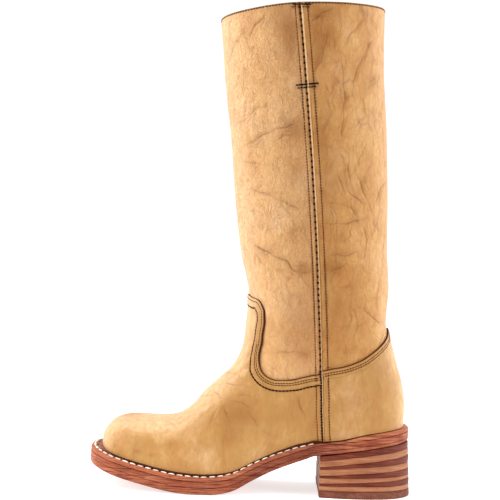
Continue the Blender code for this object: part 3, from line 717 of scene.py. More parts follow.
class LastSkin:
    """The upper's outside as a smooth skin, read from the frame's upper node.

    Columns run round the leg from the back over the outer side to the toe and back along the
    inner side; rows run from the feather line, where the upper meets the sole, to the collar.
    """

    COLUMNS = 44
    ROWS = 25
    TOE = 22
    RIM_DEPTH = 20.0
    RIM_MOVES = ((1.3, 15.0, 28.0), (-0.7, 82.0, 18.0))
    SKIVED = (0.9, -20.0, -80.0)
    FINE = 6

    def __init__(self, node: Piece) -> None:
        """Reads the skin from the frame's upper, and moves its rim as RIM_MOVES says: by a height
        at a place in x, over a width."""
        grid = self._read(node)
        rim = grid[:, -1]
        for height, place, wide in self.RIM_MOVES:
            rim[:, 2] += height * bell(rim[:, 0] - place, wide)
        below = 2 * grid[:, :1] - grid[:, 1:2]
        above = 2 * grid[:, -1:] - grid[:, -2:-1]
        self.padded = np.concatenate([below, grid, above], axis=1)
        self.top = self.ROWS - 1
        columns = np.linspace(0, self.COLUMNS, self.COLUMNS * self.FINE + 1)
        across, up = np.meshgrid(columns, np.linspace(0, self.top, self.top * self.FINE + 1))
        self._places = np.stack([across.ravel(), up.ravel()], axis=1)
        self._points = self.at(self._places[:, 0], self._places[:, 1])
        width = len(columns)
        self._faces: list[tuple[int, int, int]] = []
        for j in range(self.top * self.FINE):
            for a in range(j * width, (j + 1) * width - 1):
                self._faces += [(a, a + 1, a + width + 1), (a, a + width + 1, a + width)]
        self._tree = BVHTree.FromPolygons([Vector(p) for p in self._points], self._faces)

    def _read(self, node: Piece) -> Array:
        """Walks the upper's wall from the collar down: columns by rows of places in millimetres,
        the feather line first."""
        mesh = bmesh.new()
        mesh.from_mesh(node.data)
        bmesh.ops.remove_doubles(mesh, verts=mesh.verts, dist=1e-5)
        mesh.normal_update()
        top = max(v.co.z for v in mesh.verts)
        level = top - self.RIM_DEPTH * MM
        rim = {f for f in mesh.faces if f.normal.z > 0.7 and f.calc_center_median().z > level}
        border = {e for e in mesh.edges if sum(f in rim for f in e.link_faces) == 1}
        ends = {v for e in border for v in e.verts}
        first = max(ends, key=lambda v: v.co.x)
        second = min((e.other_vert(first) for e in first.link_edges if e in border), key=lambda v: v.co.y)
        row = self._chain(first, second, border)
        seen, rows = set(ends), [row]
        while len(rows) < self.ROWS:
            below = {e.other_vert(v) for v in rows[-1] for e in v.link_edges} - seen
            edges = {e for v in below for e in v.link_edges if e.other_vert(v) in below}
            first = min(below, key=lambda v: (v.co - rows[-1][0].co).length)
            second = min(
                (e.other_vert(first) for e in first.link_edges if e in edges),
                key=lambda v: (v.co - rows[-1][1].co).length,
            )
            ring = self._chain(first, second, edges)
            turned = [ring[k:] + ring[:k] for k in (-1, 0, 1)]
            ring = min(turned, key=lambda r: sum((a.co - b.co).length for a, b in zip(r, rows[-1])))
            rows.append(ring)
            seen |= below
        grid = np.array([[v.co[:] for v in row] for row in reversed(rows)]) / MM
        mesh.free()
        return grid.transpose(1, 0, 2)

    @staticmethod
    def _chain(first: bmesh.types.BMVert, second: bmesh.types.BMVert, edges: set) -> list:
        """Follows a closed chain of edges.

        Args:
            first: Where it starts.
            second: The next vertex, which gives the direction.
            edges: The edges that may be used.

        Returns:
            The chain's vertices in order.
        """
        order = [first, second]
        while True:
            nexts = [e.other_vert(order[-1]) for e in order[-1].link_edges if e in edges]
            follow = [v for v in nexts if v is not order[-2]]
            if not follow or follow[0] is first:
                return order
            order.append(follow[0])

    @staticmethod
    def _basis(share: Array) -> tuple[Array, Array]:
        """The weights of four neighbours on a smooth curve, and the weights of its slope."""
        t = share[..., None]
        powers = np.concatenate([np.ones_like(t), t, t**2, t**3], axis=-1)
        slopes = np.concatenate([np.zeros_like(t), np.ones_like(t), 2 * t, 3 * t**2], axis=-1)
        weights = 0.5 * np.array([[0, 2, 0, 0], [-1, 0, 1, 0], [2, -5, 4, -1], [-1, 3, -3, 1]], float)
        return powers @ weights, slopes @ weights

    def sense(self, column: Array, row: Array) -> tuple[Array, Array, Array]:
        """The skin and its two directions.

        Args:
            column: Places round the leg.
            row: Places up the leg.

        Returns:
            The points, and how they move for one column and for one row.
        """
        column = np.mod(np.asarray(column, float), self.COLUMNS)
        row = np.asarray(row, float)
        i = np.floor(column).astype(int)
        j = np.clip(np.floor(row), 0, self.ROWS - 2).astype(int)
        across, across_slope = self._basis(column - i)
        up, up_slope = self._basis(row - j)
        steps = np.arange(4)
        columns = (i[..., None] + steps - 1) % self.COLUMNS
        patch = self.padded[columns[..., :, None], (j[..., None] + steps)[..., None, :]]
        return tuple(
            np.einsum("...a,...b,...abk->...k", a, b, patch)
            for a, b in ((across, up), (across_slope, up), (across, up_slope))
        )

    def at(self, column: Array, row: Array) -> Array:
        """The skin's points."""
        return self.sense(column, row)[0]

    def normal(self, column: Array, row: Array) -> Array:
        """The skin's outward directions."""
        _, across, up = self.sense(column, row)
        return unit(np.cross(up, across))

    def raised(self, column: Array, row: Array, height: Array) -> Array:
        """Points at a height over the skin."""
        point, across, up = self.sense(column, row)
        return point + unit(np.cross(up, across)) * np.asarray(height)[..., None]

    def skived(self, points: Array) -> Array:
        """How much thinner than elsewhere the overlay leather is, towards the toe."""
        thinner, start, end = self.SKIVED
        return thinner * smooth(start, end, points[..., 0])

    def spot(self, x: float, z: float, side: Side) -> tuple[Array, Array]:
        """The point and outward direction that the camera sees at (x, 0, z)."""
        place = np.array(self.seen(x, z, side))
        return self.at(place[0], place[1]), self.normal(place[0], place[1])

    def bend(self, column: Array, row: Array) -> Array:
        """How far the skin turns from the leg's sides: 0 on a side, 1 at the front, back or top. The leather is
        painted paler there, mostly as a highlight towards the side lamps and partly as pull-up paling.
        """
        return smooth(0.95, 0.45, np.abs(self.normal(column, row)[..., 1]))

    def _hit(self, start: Vector, way: Vector) -> tuple[float, float]:
        """The column and row where a ray meets the skin, or those nearest to it."""
        place, _, index, _ = self._tree.ray_cast(start, way)
        if place is None:
            share = -start.dot(way) / way.length_squared
            place, _, index, _ = self._tree.find_nearest(start + way * share)
        points = [Vector(self._points[k]) for k in self._faces[index]]
        flat = [Vector((*self._places[k], 0.0)) for k in self._faces[index]]
        found = barycentric_transform(place, *points, *flat)
        return found.x, found.y

    def beside(self, x: float, z: float, side: Side) -> tuple[float, float]:
        """The column and row at a place in the true side view."""
        return self._hit(Vector((x, side.value * 300.0, z)), Vector((0.0, -side.value, 0.0)))

    def seen(self, x: float, z: float, side: Side) -> tuple[float, float]:
        """The column and row that the photograph's camera, or its mirror image, sees at (x, 0, z)."""
        start = Vector((CAMERA_PLACE[0], side.value * abs(CAMERA_PLACE[1]), CAMERA_PLACE[2]))
        return self._hit(start, (Vector((x, 0.0, z)) - start).normalized())

    def march(
        self, column: Array, row: Array, way: Array, distance: float | Array
    ) -> tuple[Array, Array, Array]:
        """Walks over the skin.

        Args:
            column: Where the walks start.
            row: Where the walks start.
            way: The direction of each walk, in space.
            distance: How far, in millimetres.

        Returns:
            The columns, rows and directions at the ends.
        """
        column, row, way = np.array(column, float), np.array(row, float), np.array(way, float)
        steps = max(int(np.max(np.abs(distance)) / 1.5) + 1, 2)
        for _ in range(steps):
            _, across, up = self.sense(column, row)
            normal = unit(np.cross(up, across))
            way = unit(way - normal * np.sum(way * normal, axis=-1, keepdims=True))
            a, b, d = (np.sum(p * q, axis=-1) for p, q in ((across, across), (across, up), (up, up)))
            f, g = np.sum(across * way, axis=-1), np.sum(up * way, axis=-1)
            room = a * d - b * b
            column = column + (f * d - b * g) / room * distance / steps
            row = row + (a * g - b * f) / room * distance / steps
        return column, row, way


class SurfacePath:
    """A line over the skin, evenly spaced, with its directions."""

    def __init__(self, skin: LastSkin, places: Array, spacing: float) -> None:
        """Draws the line.

        Args:
            skin: The skin it lies on.
            places: Columns and rows along it, close together; columns may run past the last.
            spacing: The step between its points, in millimetres.
        """
        self.skin = skin
        points = skin.at(places[:, 0], places[:, 1])
        along = lengths(points)
        self.length = float(along[-1])
        self.along = np.linspace(0, self.length, max(int(round(self.length / spacing)), 2) + 1)
        self.column = np.interp(self.along, along, places[:, 0])
        self.row = np.interp(self.along, along, places[:, 1])
        self.points, self.normals = skin.at(self.column, self.row), skin.normal(self.column, self.row)
        self.ways = unit(np.gradient(self.points, axis=0))
        self.lefts = unit(np.cross(self.normals, self.ways))

    def beside(self, distance: float | Array) -> tuple[Array, Array]:
        """Columns and rows at a distance to the left of the line, seen from outside."""
        return self.skin.march(self.column, self.row, self.lefts, distance)[:2]


# ---------------------------------------------------------------- folds


@dataclass(frozen=True)
class Fold:
    """One crease in the leather, as the photograph's camera sees it.

    line holds places (x, z) where the sight line crosses the boot's middle plane. dark is how much painted shade it
    lays in and beside the crease.
    """

    line: tuple[tuple[float, float], ...]
    depth: float = 0.5
    width: float = 2.4
    dark: float = 0.5


FRONT_FOLDS = (
    Fold(((-19, 377), (-11, 391), (-3, 400)), 0.5, 2.2, 0.6),
    Fold(((-34, 357), (-27, 375), (-18, 392)), 0.35, 2.4, 0.4),
    Fold(((-26, 303), (-14, 314)), 0.3, 2.2, 0.35),
    Fold(((-15, 313), (-6, 321), (6, 323)), 0.4, 2.2, 0.5),
    Fold(((-17, 288), (-5, 295), (6, 302), (29, 309)), 0.55, 2.6, 0.6),
    Fold(((-20, 276), (-5, 274), (14, 273)), 0.25, 2.2, 0.3),
    Fold(((-10, 242), (-4, 251), (3, 260)), 0.35, 2.2, 0.4),
    Fold(((-13, 253), (7, 247), (36, 235)), 0.45, 2.6, 0.45),
    Fold(((-6, 205), (11, 197), (24, 191), (32, 183), (47, 184)), 0.7, 2.4, 0.7),
    Fold(((12, 186), (24, 180)), 0.35, 2.0, 0.4),
    Fold(((22, 172), (30, 181)), 0.4, 2.0, 0.5),
    Fold(((13, 113), (30, 115), (48, 114)), 0.45, 2.4, 0.4),
    Fold(((9, 127), (22, 128)), 0.3, 2.2, 0.3),
    Fold(((10, 105), (25, 94)), 0.3, 2.0, 0.3),
    Fold(((27, 299), (16, 298), (10, 293)), 0.4, 2.6, 0.4),
    Fold(((0, 303), (1, 296)), 0.3, 2.0, 0.45),
    Fold(((23, 176), (33, 185)), 0.4, 2.4, 0.4),
    Fold(((16, 224), (5, 216)), 0.3, 2.4, 0.3),
    Fold(((-9, 118), (-2, 117)), 0.35, 2.4, 0.45),
)
BACK_FOLDS = (
    Fold(((34, 396), (49, 406), (56, 410)), 0.25, 2.6, 0.85),
    Fold(((34, 395), (43, 400), (53, 401)), 0.25, 2.4, 0.55),
    Fold(((82, 403), (76, 395), (68, 384), (65, 377)), 0.5, 2.8, 0.4),
    Fold(((94, 356), (93, 352), (89, 348), (85, 347)), 0.4, 2.4, 0.5),
    Fold(((63, 365), (65, 346), (67, 331), (66, 306), (67, 293)), 0.5, 2.2, 0.5),
    Fold(((90, 385), (80, 365), (72, 343)), 0.6, 2.6, 0.5),
    Fold(((84, 402), (76, 393), (66, 384)), 0.4, 2.2, 0.4),
    Fold(((53, 386), (61, 366)), 0.4, 2.2, 0.45),
    Fold(((85, 319), (74, 304)), 0.4, 2.2, 0.4),
    Fold(((86, 294), (80, 274)), 0.4, 2.2, 0.45),
    Fold(((71, 279), (78, 248)), 0.5, 2.2, 0.5),
    Fold(((62, 270), (73, 247)), 0.4, 2.2, 0.4),
    Fold(((50, 390), (46, 366), (40, 351)), 0.35, 2.4, 0.5),
    Fold(((99, 355), (90, 344), (80, 334)), 0.4, 2.4, 0.35),
    Fold(((77, 275), (85, 257), (94, 237), (95, 232)), 0.7, 2.4, 0.6),
    Fold(((105, 265), (97, 245), (95, 233)), 0.65, 2.6, 0.5),
    Fold(((69, 266), (76, 251), (90, 242), (93, 237)), 0.45, 2.4, 0.45),
    Fold(((52, 225), (72, 226), (86, 230), (94, 232)), 0.6, 2.4, 0.5),
    Fold(((95, 232), (96, 227), (103, 217)), 0.6, 2.4, 0.5),
    Fold(((54, 244), (74, 240), (83, 231)), 0.4, 2.2, 0.35),
    Fold(((86, 224), (91, 213), (89, 202), (88, 193)), 0.5, 2.4, 0.4),
    Fold(((59, 199), (75, 199), (85, 204)), 0.55, 2.2, 0.6),
    Fold(((57, 182), (71, 190), (78, 195)), 0.45, 2.2, 0.4),
    Fold(((82, 151), (87, 155), (95, 150), (107, 141)), 0.7, 2.6, 0.5),
)
VAMP_FOLDS = (
    Fold(((36, 80), (42, 67), (46, 57)), 0.5, 2.2, 0.55),
    Fold(((-25, 68), (-22, 60), (-18, 49)), 0.6, 2.2, 0.6),
    Fold(((-34, 79), (-25, 71)), 0.4, 2.2, 0.35),
    Fold(((-26, 85), (-12, 84), (2, 83)), 0.45, 2.0, 0.4),
    Fold(((-21, 96), (-12, 91), (-2, 87)), 0.4, 2.0, 0.3),
    Fold(((-9, 67), (-2, 60), (5, 49)), 0.5, 2.4, 0.5),
    Fold(((-23, 46), (-21, 34)), 0.35, 2.4, 0.35),
    Fold(((-24, 72), (-12, 70), (3, 64)), 0.35, 2.2, 0.35),
    Fold(((-28, 66), (-33, 56), (-39, 44)), 0.35, 2.6, 0.3),
    Fold(((-17, 76), (-6, 76), (8, 71)), 0.3, 2.2, 0.3),
    Fold(((5, 49), (15, 44), (24, 43)), 0.3, 2.2, 0.25),
    Fold(((-31, 76), (-41, 73), (-51, 75)), 0.3, 2.6, 0.25),
)


@dataclass(frozen=True)
class Stain:
    """A soft brown cloud on the leather, partly a real stain and partly painted shade, placed as a
    fold is: its middle, its half width along x and its half height along z, how dark it is and how
    far it leans from upright, in degrees."""

    x: float
    z: float
    wide: float
    tall: float
    dark: float
    lean: float = 0.0


# The clouds below are partly real stain marks and partly painted shade.
FRONT_STAINS = (
    Stain(12, 395, 22, 12, 0.35, 60),
    Stain(19, 378, 8, 21, 0.3),
    Stain(25, 303, 10, 10, 0.35),
    Stain(26, 268, 7, 12, 0.2),
    Stain(37, 187, 8, 6, 0.4),
    Stain(34, 132, 22, 38, 0.32),
    Stain(42, 113, 6, 4, 0.25),
    Stain(-8, 290, 7, 4, 0.2),
    Stain(-17, 395, 4, 9, 0.2, 20),
)
BACK_STAINS = (
    Stain(45, 405, 14, 9, 0.45),
    Stain(50, 385, 3.5, 19, 0.35, 16),
    Stain(42, 381, 7, 22, 0.45),
    Stain(54, 381, 5, 19, 0.25, 12),
    Stain(50, 300, 8, 24, 0.35),
    Stain(57, 254, 12, 36, 0.3),
    Stain(62, 188, 12, 10, 0.45),
    Stain(68, 150, 17, 20, 0.25),
    Stain(85, 174, 4, 14, 0.2),
    Stain(66, 201, 12, 4, 0.25),
)
VAMP_STAINS = (
    Stain(-18, 60, 17, 12, 0.35, -35),
    Stain(-24, 42, 11, 18, 0.25),
    Stain(22, 61, 26, 17, 0.15),
    Stain(54, 62, 5, 16, 0.2),
    Stain(-65, 30, 30, 7, 0.15),
    Stain(-115, 29, 1.6, 1.2, 0.5),
    Stain(-96.5, 25, 4.0, 1.3, 0.5),
    Stain(-84, 22.5, 4.5, 1.3, 0.45),
    Stain(-69, 32, 3.0, 3.4, 0.35),
    Stain(-9, 60, 7.0, 9.0, 0.3),
    Stain(-104, 55, 24, 10, 0.3),
    Stain(-53, 56, 14, 9, 0.14),
)
COUNTER_STAINS = (Stain(92, 76, 19, 15, 0.3), Stain(78, 51, 11, 7, 0.1))


class Creases:
    """The creases and the stain marks, partly painted shade, of one panel, ready to press into its points.

    VALLEY and RIDGE are in widths of a fold: how wide the valley is, and how far off and how wide
    the ridge beside it is. REACH is how many widths off a fold still matters. HALO is how far its
    painted shade spreads and FAR the gap where none is near, in millimetres.
    """

    REACH = 4.0
    STEP = 1.0
    TAPER = 9.0
    WOBBLE = 0.5
    HALO = 3.4
    FAR = 6.0
    VALLEY = 0.55
    RIDGE = (1.14, 0.6)
    RIDGE_HEIGHT = 0.35

    def __init__(self, skin: LastSkin, folds: tuple[Fold, ...], stains: tuple[Stain, ...]) -> None:
        """Lays the folds and the stain marks, partly painted shade, on both sides of the skin."""
        self.stains = [(stain, *skin.spot(stain.x, stain.z, side), side) for stain in stains for side in Side]
        self.lines: list[tuple[Fold, Array, Array, Array]] = []
        for fold in folds:
            for side in Side:
                line = spline(np.array(fold.line, float), 3.0)
                line = line + self.WOBBLE * np.sin(np.arange(len(line))[:, None] * (0.9, 1.3) + line[0] * 0.37)
                places = np.array([skin.seen(x, z, side) for x, z in line])
                if side is Side.INNER:
                    places = places[::-1]
                path = SurfacePath(skin, places, self.STEP)
                ends = np.minimum(path.along, path.length - path.along)
                broken = 0.75 + 0.25 * np.sin(path.along / 4.3 + path.length)
                self.lines.append((fold, path.points, path.lefts, broken * smooth(0.0, self.TAPER, ends + 0.5)))

    def soak(self, points: Array) -> Array:
        """How dark the stain marks, partly real and partly painted shade, make points."""
        clear = np.ones(points.shape[:-1])
        for stain, middle, normal, side in self.stains:
            lean = math.radians(stain.lean)
            tall = unit(np.array([math.sin(lean), 0.0, math.cos(lean)]))
            tall = unit(tall - normal * float(tall @ normal))
            wide = np.cross(tall, normal)
            away = points - middle
            gap = np.sqrt((away @ wide / stain.wide) ** 2 + (away @ tall / stain.tall) ** 2)
            facing = (points[..., 1] * side.value > -5.0) * (np.abs(away @ normal) < 30.0)
            clear = clear * (1.0 - stain.dark * bell(gap, 0.9) * facing)
        return 1.0 - clear

    def press(self, points: Array) -> tuple[Array, dict[str, Array]]:
        """How the creases move points and lay painted shade on them.

        Args:
            points: Places on the skin, as a grid.

        Returns:
            The height that each gains, and the painted shade of the nearest crease (fold) and the gap to it there.
        """
        flat = points.reshape(-1, 3)
        height, dark, beside = np.zeros(len(flat)), np.zeros(len(flat)), np.full(len(flat), self.FAR)
        for fold, line, lefts, strength in self.lines:
            reach = self.REACH * fold.width
            low, high = line.min(axis=0) - reach, line.max(axis=0) + reach
            near = np.flatnonzero(np.all((flat > low) & (flat < high), axis=1))
            if not len(near):
                continue
            away = flat[near][:, None] - line[None]
            gaps = np.linalg.norm(away, axis=2)
            closest = gaps.argmin(axis=1)
            each = np.arange(len(near))
            gap, share = gaps[each, closest], strength[closest]
            sign = np.where(np.sum(away[each, closest] * lefts[closest], axis=1) > 0, 1.0, -1.0)
            ridge = bell(gap - self.RIDGE[0] * fold.width, self.RIDGE[1] * fold.width)
            height[near] -= fold.depth * share * (bell(gap, self.VALLEY * fold.width) - self.RIDGE_HEIGHT * ridge)
            # Painted shade in and beside the crease.
            weight = fold.dark * share * bell(gap, self.HALO)
            better = weight > dark[near]
            dark[near[better]] = weight[better]
            beside[near[better]] = (gap * sign)[better]
        shape = points.shape[:-1]
        return height.reshape(shape), {"fold": dark.reshape(shape), "gap": beside.reshape(shape)}


# ---------------------------------------------------------------- seams and edges


@dataclass
class SideSeam:
    """One side seam of the leg, from the welt to the collar."""

    skin: LastSkin
    side: Side
    node: Piece
    order: int = 5
    lowest: float = 50.0
    samples: int = 60
    rows: Array = field(init=False)
    columns: Array = field(init=False)

    def __post_init__(self) -> None:
        """Reads the seam's course from the frame's piping."""
        held = np.array([v.co[:] for v in self.node.data.vertices]) / MM
        course = np.polynomial.Polynomial.fit(held[:, 2], held[:, 0], self.order)
        heights = np.linspace(self.lowest, held[:, 2].max() - 2.0, self.samples)
        found = np.array([self.skin.beside(course(z), z, self.side) for z in heights])
        self.rows, self.columns = found[:, 1], found[:, 0]
        line = self.path(0.8, bottom=-0.5)
        self._nearest = Nearest(line.points, line.lefts * self.side.value)

    def gap(self, points: Array) -> Array:
        """How far behind the seam each point lies, in millimetres; before it is negative."""
        return self._nearest.signed(points.reshape(-1, 3))[0].reshape(points.shape[:-1])

    def shifted(self, path: SurfacePath, distance: float | Array) -> tuple[Array, Array]:
        """Columns and rows of a line along the seam, moved towards the heel."""
        asked = walked = distance + np.zeros_like(path.column)
        for _ in range(3):
            column, row, _ = self.skin.march(path.column, path.row, path.lefts * self.side.value, walked)
            reached = np.abs(self.gap(self.skin.at(column, row)))
            walked = np.where(np.abs(asked) > 1.0, walked * np.abs(asked) / np.maximum(reached, 0.1), walked)
        return column, row

    def column(self, row: Array) -> Array:
        """The seam's column at each row, carried on straight past its ends."""
        row = np.asarray(row, float)
        inner = np.interp(row, self.rows, self.columns)
        low = (self.columns[1] - self.columns[0]) / (self.rows[1] - self.rows[0])
        high = (self.columns[-1] - self.columns[-3]) / (self.rows[-1] - self.rows[-3])
        inner = inner + np.where(row < self.rows[0], (row - self.rows[0]) * low, 0.0)
        return inner + np.where(row > self.rows[-1], (row - self.rows[-1]) * high, 0.0)

    def path(self, spacing: float, bottom: float = 0.0, top: float | None = None) -> SurfacePath:
        """The seam as a line over the skin, from the feather line up."""
        rows = np.linspace(bottom, self.skin.top if top is None else top, 400)
        return SurfacePath(self.skin, np.stack([self.column(rows), rows], axis=1), spacing)


# Lengths of the seams: the leather's rise beside them, the groove, and how deep and how far
# off the groove the rows of stitches lie.
PUFF = 0.4
GROOVE = 1.6
STITCH_SINK = 0.35
SEAM_ROWS = (-4.2, 5.8)

# The overlays: their height over the skin, and the places (x, z) of their edges.
OVERLAY = 1.8
TONGUE_TOP = (-8.8, 162.6)
VAMP_EDGE = (
    (53.9, 100.5), (34.3, 95.4), (23.3, 93.8), (14.5, 94.2), (8.2, 97.4), (4.5, 104.0),
    (3.5, 112.7), (5.76, 131.4), (6.76, 143.9), (5.26, 152.5), (-0.5, 159.6),
)
COUNTER_PEAK = (114.0, 139.0)
COUNTER_EDGE = ((54.6, 102.9), (70.9, 106.8), (84.4, 111.5), (95.2, 118.2), (109.5, 133.0))
FINE_ROWS = (2.6, 4.3)
COUNTER_ROWS = (2.6, 4.4)
BOLD_ROW = 8.7
SECOND_ROW_TOP = 122.0

# Sections through the turned borders: distances inside the edge, and heights.
VAMP_BAND = (
    (0.0, 0.2), (0.0, 1.2), (0.35, 1.6), (1.1, 1.9), (1.9, 1.85), (2.6, 1.55), (3.4, 1.8), (4.3, 1.55),
    (5.4, 2.1), (6.8, 2.2), (7.8, 1.95), (8.5, 1.5), (8.8, 1.1), (8.4, 0.8), (5.0, 0.3), (2.0, 0.15),
)
COUNTER_BAND = (
    (0.0, 0.2), (0.0, 1.2), (0.3, 1.6), (1.0, 1.9), (1.9, 1.9), (2.6, 1.62), (3.5, 1.85), (4.4, 1.6),
    (5.2, 1.85), (6.2, 1.85), (7.2, 1.75), (7.4, 1.5), (5.0, 0.4), (2.0, 0.15),
)

# The piping's section: distances behind the seam, heights, and how much painted shade darkens it there, where it dips
# into the groove.
PIPING_FOLD = (
    (0.4, -0.6, 0.7), (0.42, 0.1, 0.3), (0.6, 0.6, 0.0), (1.0, 0.85, 0.0), (1.6, 0.85, 0.0),
    (2.1, 0.65, 0.04), (2.45, 0.3, 0.2), (2.55, -0.5, 0.4), (1.5, -0.6, 0.5),
)

# The bars of stitches over the pull straps: their ends (x, z) and the size of a stitch.
BAR_TACK = (
    ((25.0, 341.6), (44.4, 344.2), (2.2, 1.5, 1.1)),
    ((26.5, 339.2), (42.5, 341.2), (2.2, 1.1, 0.9)),
    ((19.5, 410.2), (35.5, 411.0), (2.3, 1.3, 1.1)),
    ((18.5, 408.0), (34.5, 408.7), (2.0, 0.8, 0.8)),
)

# The collar's burnished edge: heights over the skin, and rises over the rim.
COLLAR_SECTION = ((0.1, -0.6), (0.1, -0.2), (-0.1, 0.0), (-2.2, 0.0), (-2.45, -0.2), (-2.45, -0.9), (0.1, -0.6))


def seam_relief(behind: Array) -> Array:
    """How high a sewn side seam makes leather lie at distances behind it."""
    gap = np.abs(behind)
    height = PUFF * bell(gap - 2.6, 1.3) - GROOVE * bell(gap, 0.75)
    for row in SEAM_ROWS:
        height = height - STITCH_SINK * bell(behind - row, 0.7)
    return height


@dataclass
class CutEdge:
    """The cut upper edge of an overlay, from side seam to side seam.

    Its border is narrower, by the share narrowing, where the edge stands upright: between the
    heights that steep names.
    """

    skin: LastSkin
    marks: tuple[tuple[float, float], ...]
    middle: tuple[float, float]
    middle_column: float
    narrowing: float = 0.0
    steep: tuple[float, float, float, float] = (102.0, 112.0, 164.0, 150.0)
    path: SurfacePath = field(init=False)
    upright: Array = field(init=False)
    width: Array = field(init=False)

    def __post_init__(self) -> None:
        """Lays the edge on both sides of the leg."""
        outer, inner = (np.array([self.skin.beside(x, z, side) for x, z in self.marks]) for side in Side)
        over = np.array([self.skin.beside(*self.middle, Side.OUTER)])
        over[0, 0] = self.middle_column
        if self.middle_column > self.skin.TOE:
            line = np.vstack([inner, over, (outer + [self.skin.COLUMNS, 0.0])[::-1]])
        else:
            line = np.vstack([outer, over, inner[::-1]])
        self.path = SurfacePath(self.skin, spline(line, 0.02), 0.9)
        self._nearest = Nearest(self.path.points, self.path.lefts)
        height = self.path.points[:, 2]
        self.upright = smooth(*self.steep[:2], height) * smooth(*self.steep[2:], height)
        self.width = 1.0 - self.narrowing * self.upright

    def inside(self, points: Array) -> Array:
        """How far inside the edge each point lies, as a distance on a full-width border; outside
        is negative."""
        gap, index = self._nearest.signed(points.reshape(-1, 3))
        return (gap / self.width[index]).reshape(points.shape[:-1])

    def at(self, distance: float | Array) -> tuple[Array, Array]:
        """Columns and rows at a distance, or distances, inside the edge."""
        return self.path.beside(distance * self.width)


# ---------------------------------------------------------------- stitches


class Stitcher:
    """Sews rows of stitches, each a small capsule modelled once and copied."""

    BLUNT = 0.8

    def __init__(self) -> None:
        """Models the one stitch."""
        select_only()
        bpy.ops.mesh.primitive_uv_sphere_add(segments=8, ring_count=6, radius=1.0)
        model = bpy.context.object
        self.points = np.array([v.co[:] for v in model.data.vertices])
        self.points[:, 2] = np.sign(self.points[:, 2]) * np.abs(self.points[:, 2]) ** self.BLUNT
        self.faces = [tuple(p.vertices) for p in model.data.polygons]
        bpy.data.objects.remove(model)

    def sew(
        self, name: str, laid: tuple[Array, Array, Array], size: tuple[float, float, float], thread: Finish, slot: str
    ) -> None:
        """Lays a stitch at each place, as one piece.

        Args:
            name: The piece's name.
            laid: The stitches' middles, directions and outward directions.
            size: The length, width and height of a stitch.
            thread: Its finish.
            slot: Handed on to finish_piece, which does not use it.
        """
        centres, ways, normals = laid
        ways = unit(ways - normals * np.sum(ways * normals, axis=1, keepdims=True))
        across = np.cross(normals, ways)
        axes = np.stack([across * size[1] / 2, normals * size[2] / 2, ways * size[0] / 2], axis=1)
        points = (centres[:, None] + np.einsum("vk,skj->svj", self.points, axes)).reshape(-1, 3)
        count = len(self.points)
        faces = [tuple(k + s * count for k in face) for s in range(len(centres)) for face in self.faces]
        finish_piece(link_mesh(name, points, faces), thread, slot)


@dataclass
class StitchRow:
    """A row of stitches along columns and rows of the skin."""

    column: Array
    row: Array
    height: float | Array
    pitch: float
    across: bool = False

    def lay(self, skin: LastSkin) -> tuple[Array, Array, Array]:
        """The stitches' middles, directions and outward directions."""
        points = skin.raised(self.column, self.row, self.height)
        along, middles, centres, ways = spaced(points, self.pitch)
        normals = skin.normal(np.interp(middles, along, self.column), np.interp(middles, along, self.row))
        return centres, np.cross(normals, ways) if self.across else ways, normals


# ---------------------------------------------------------------- the upper


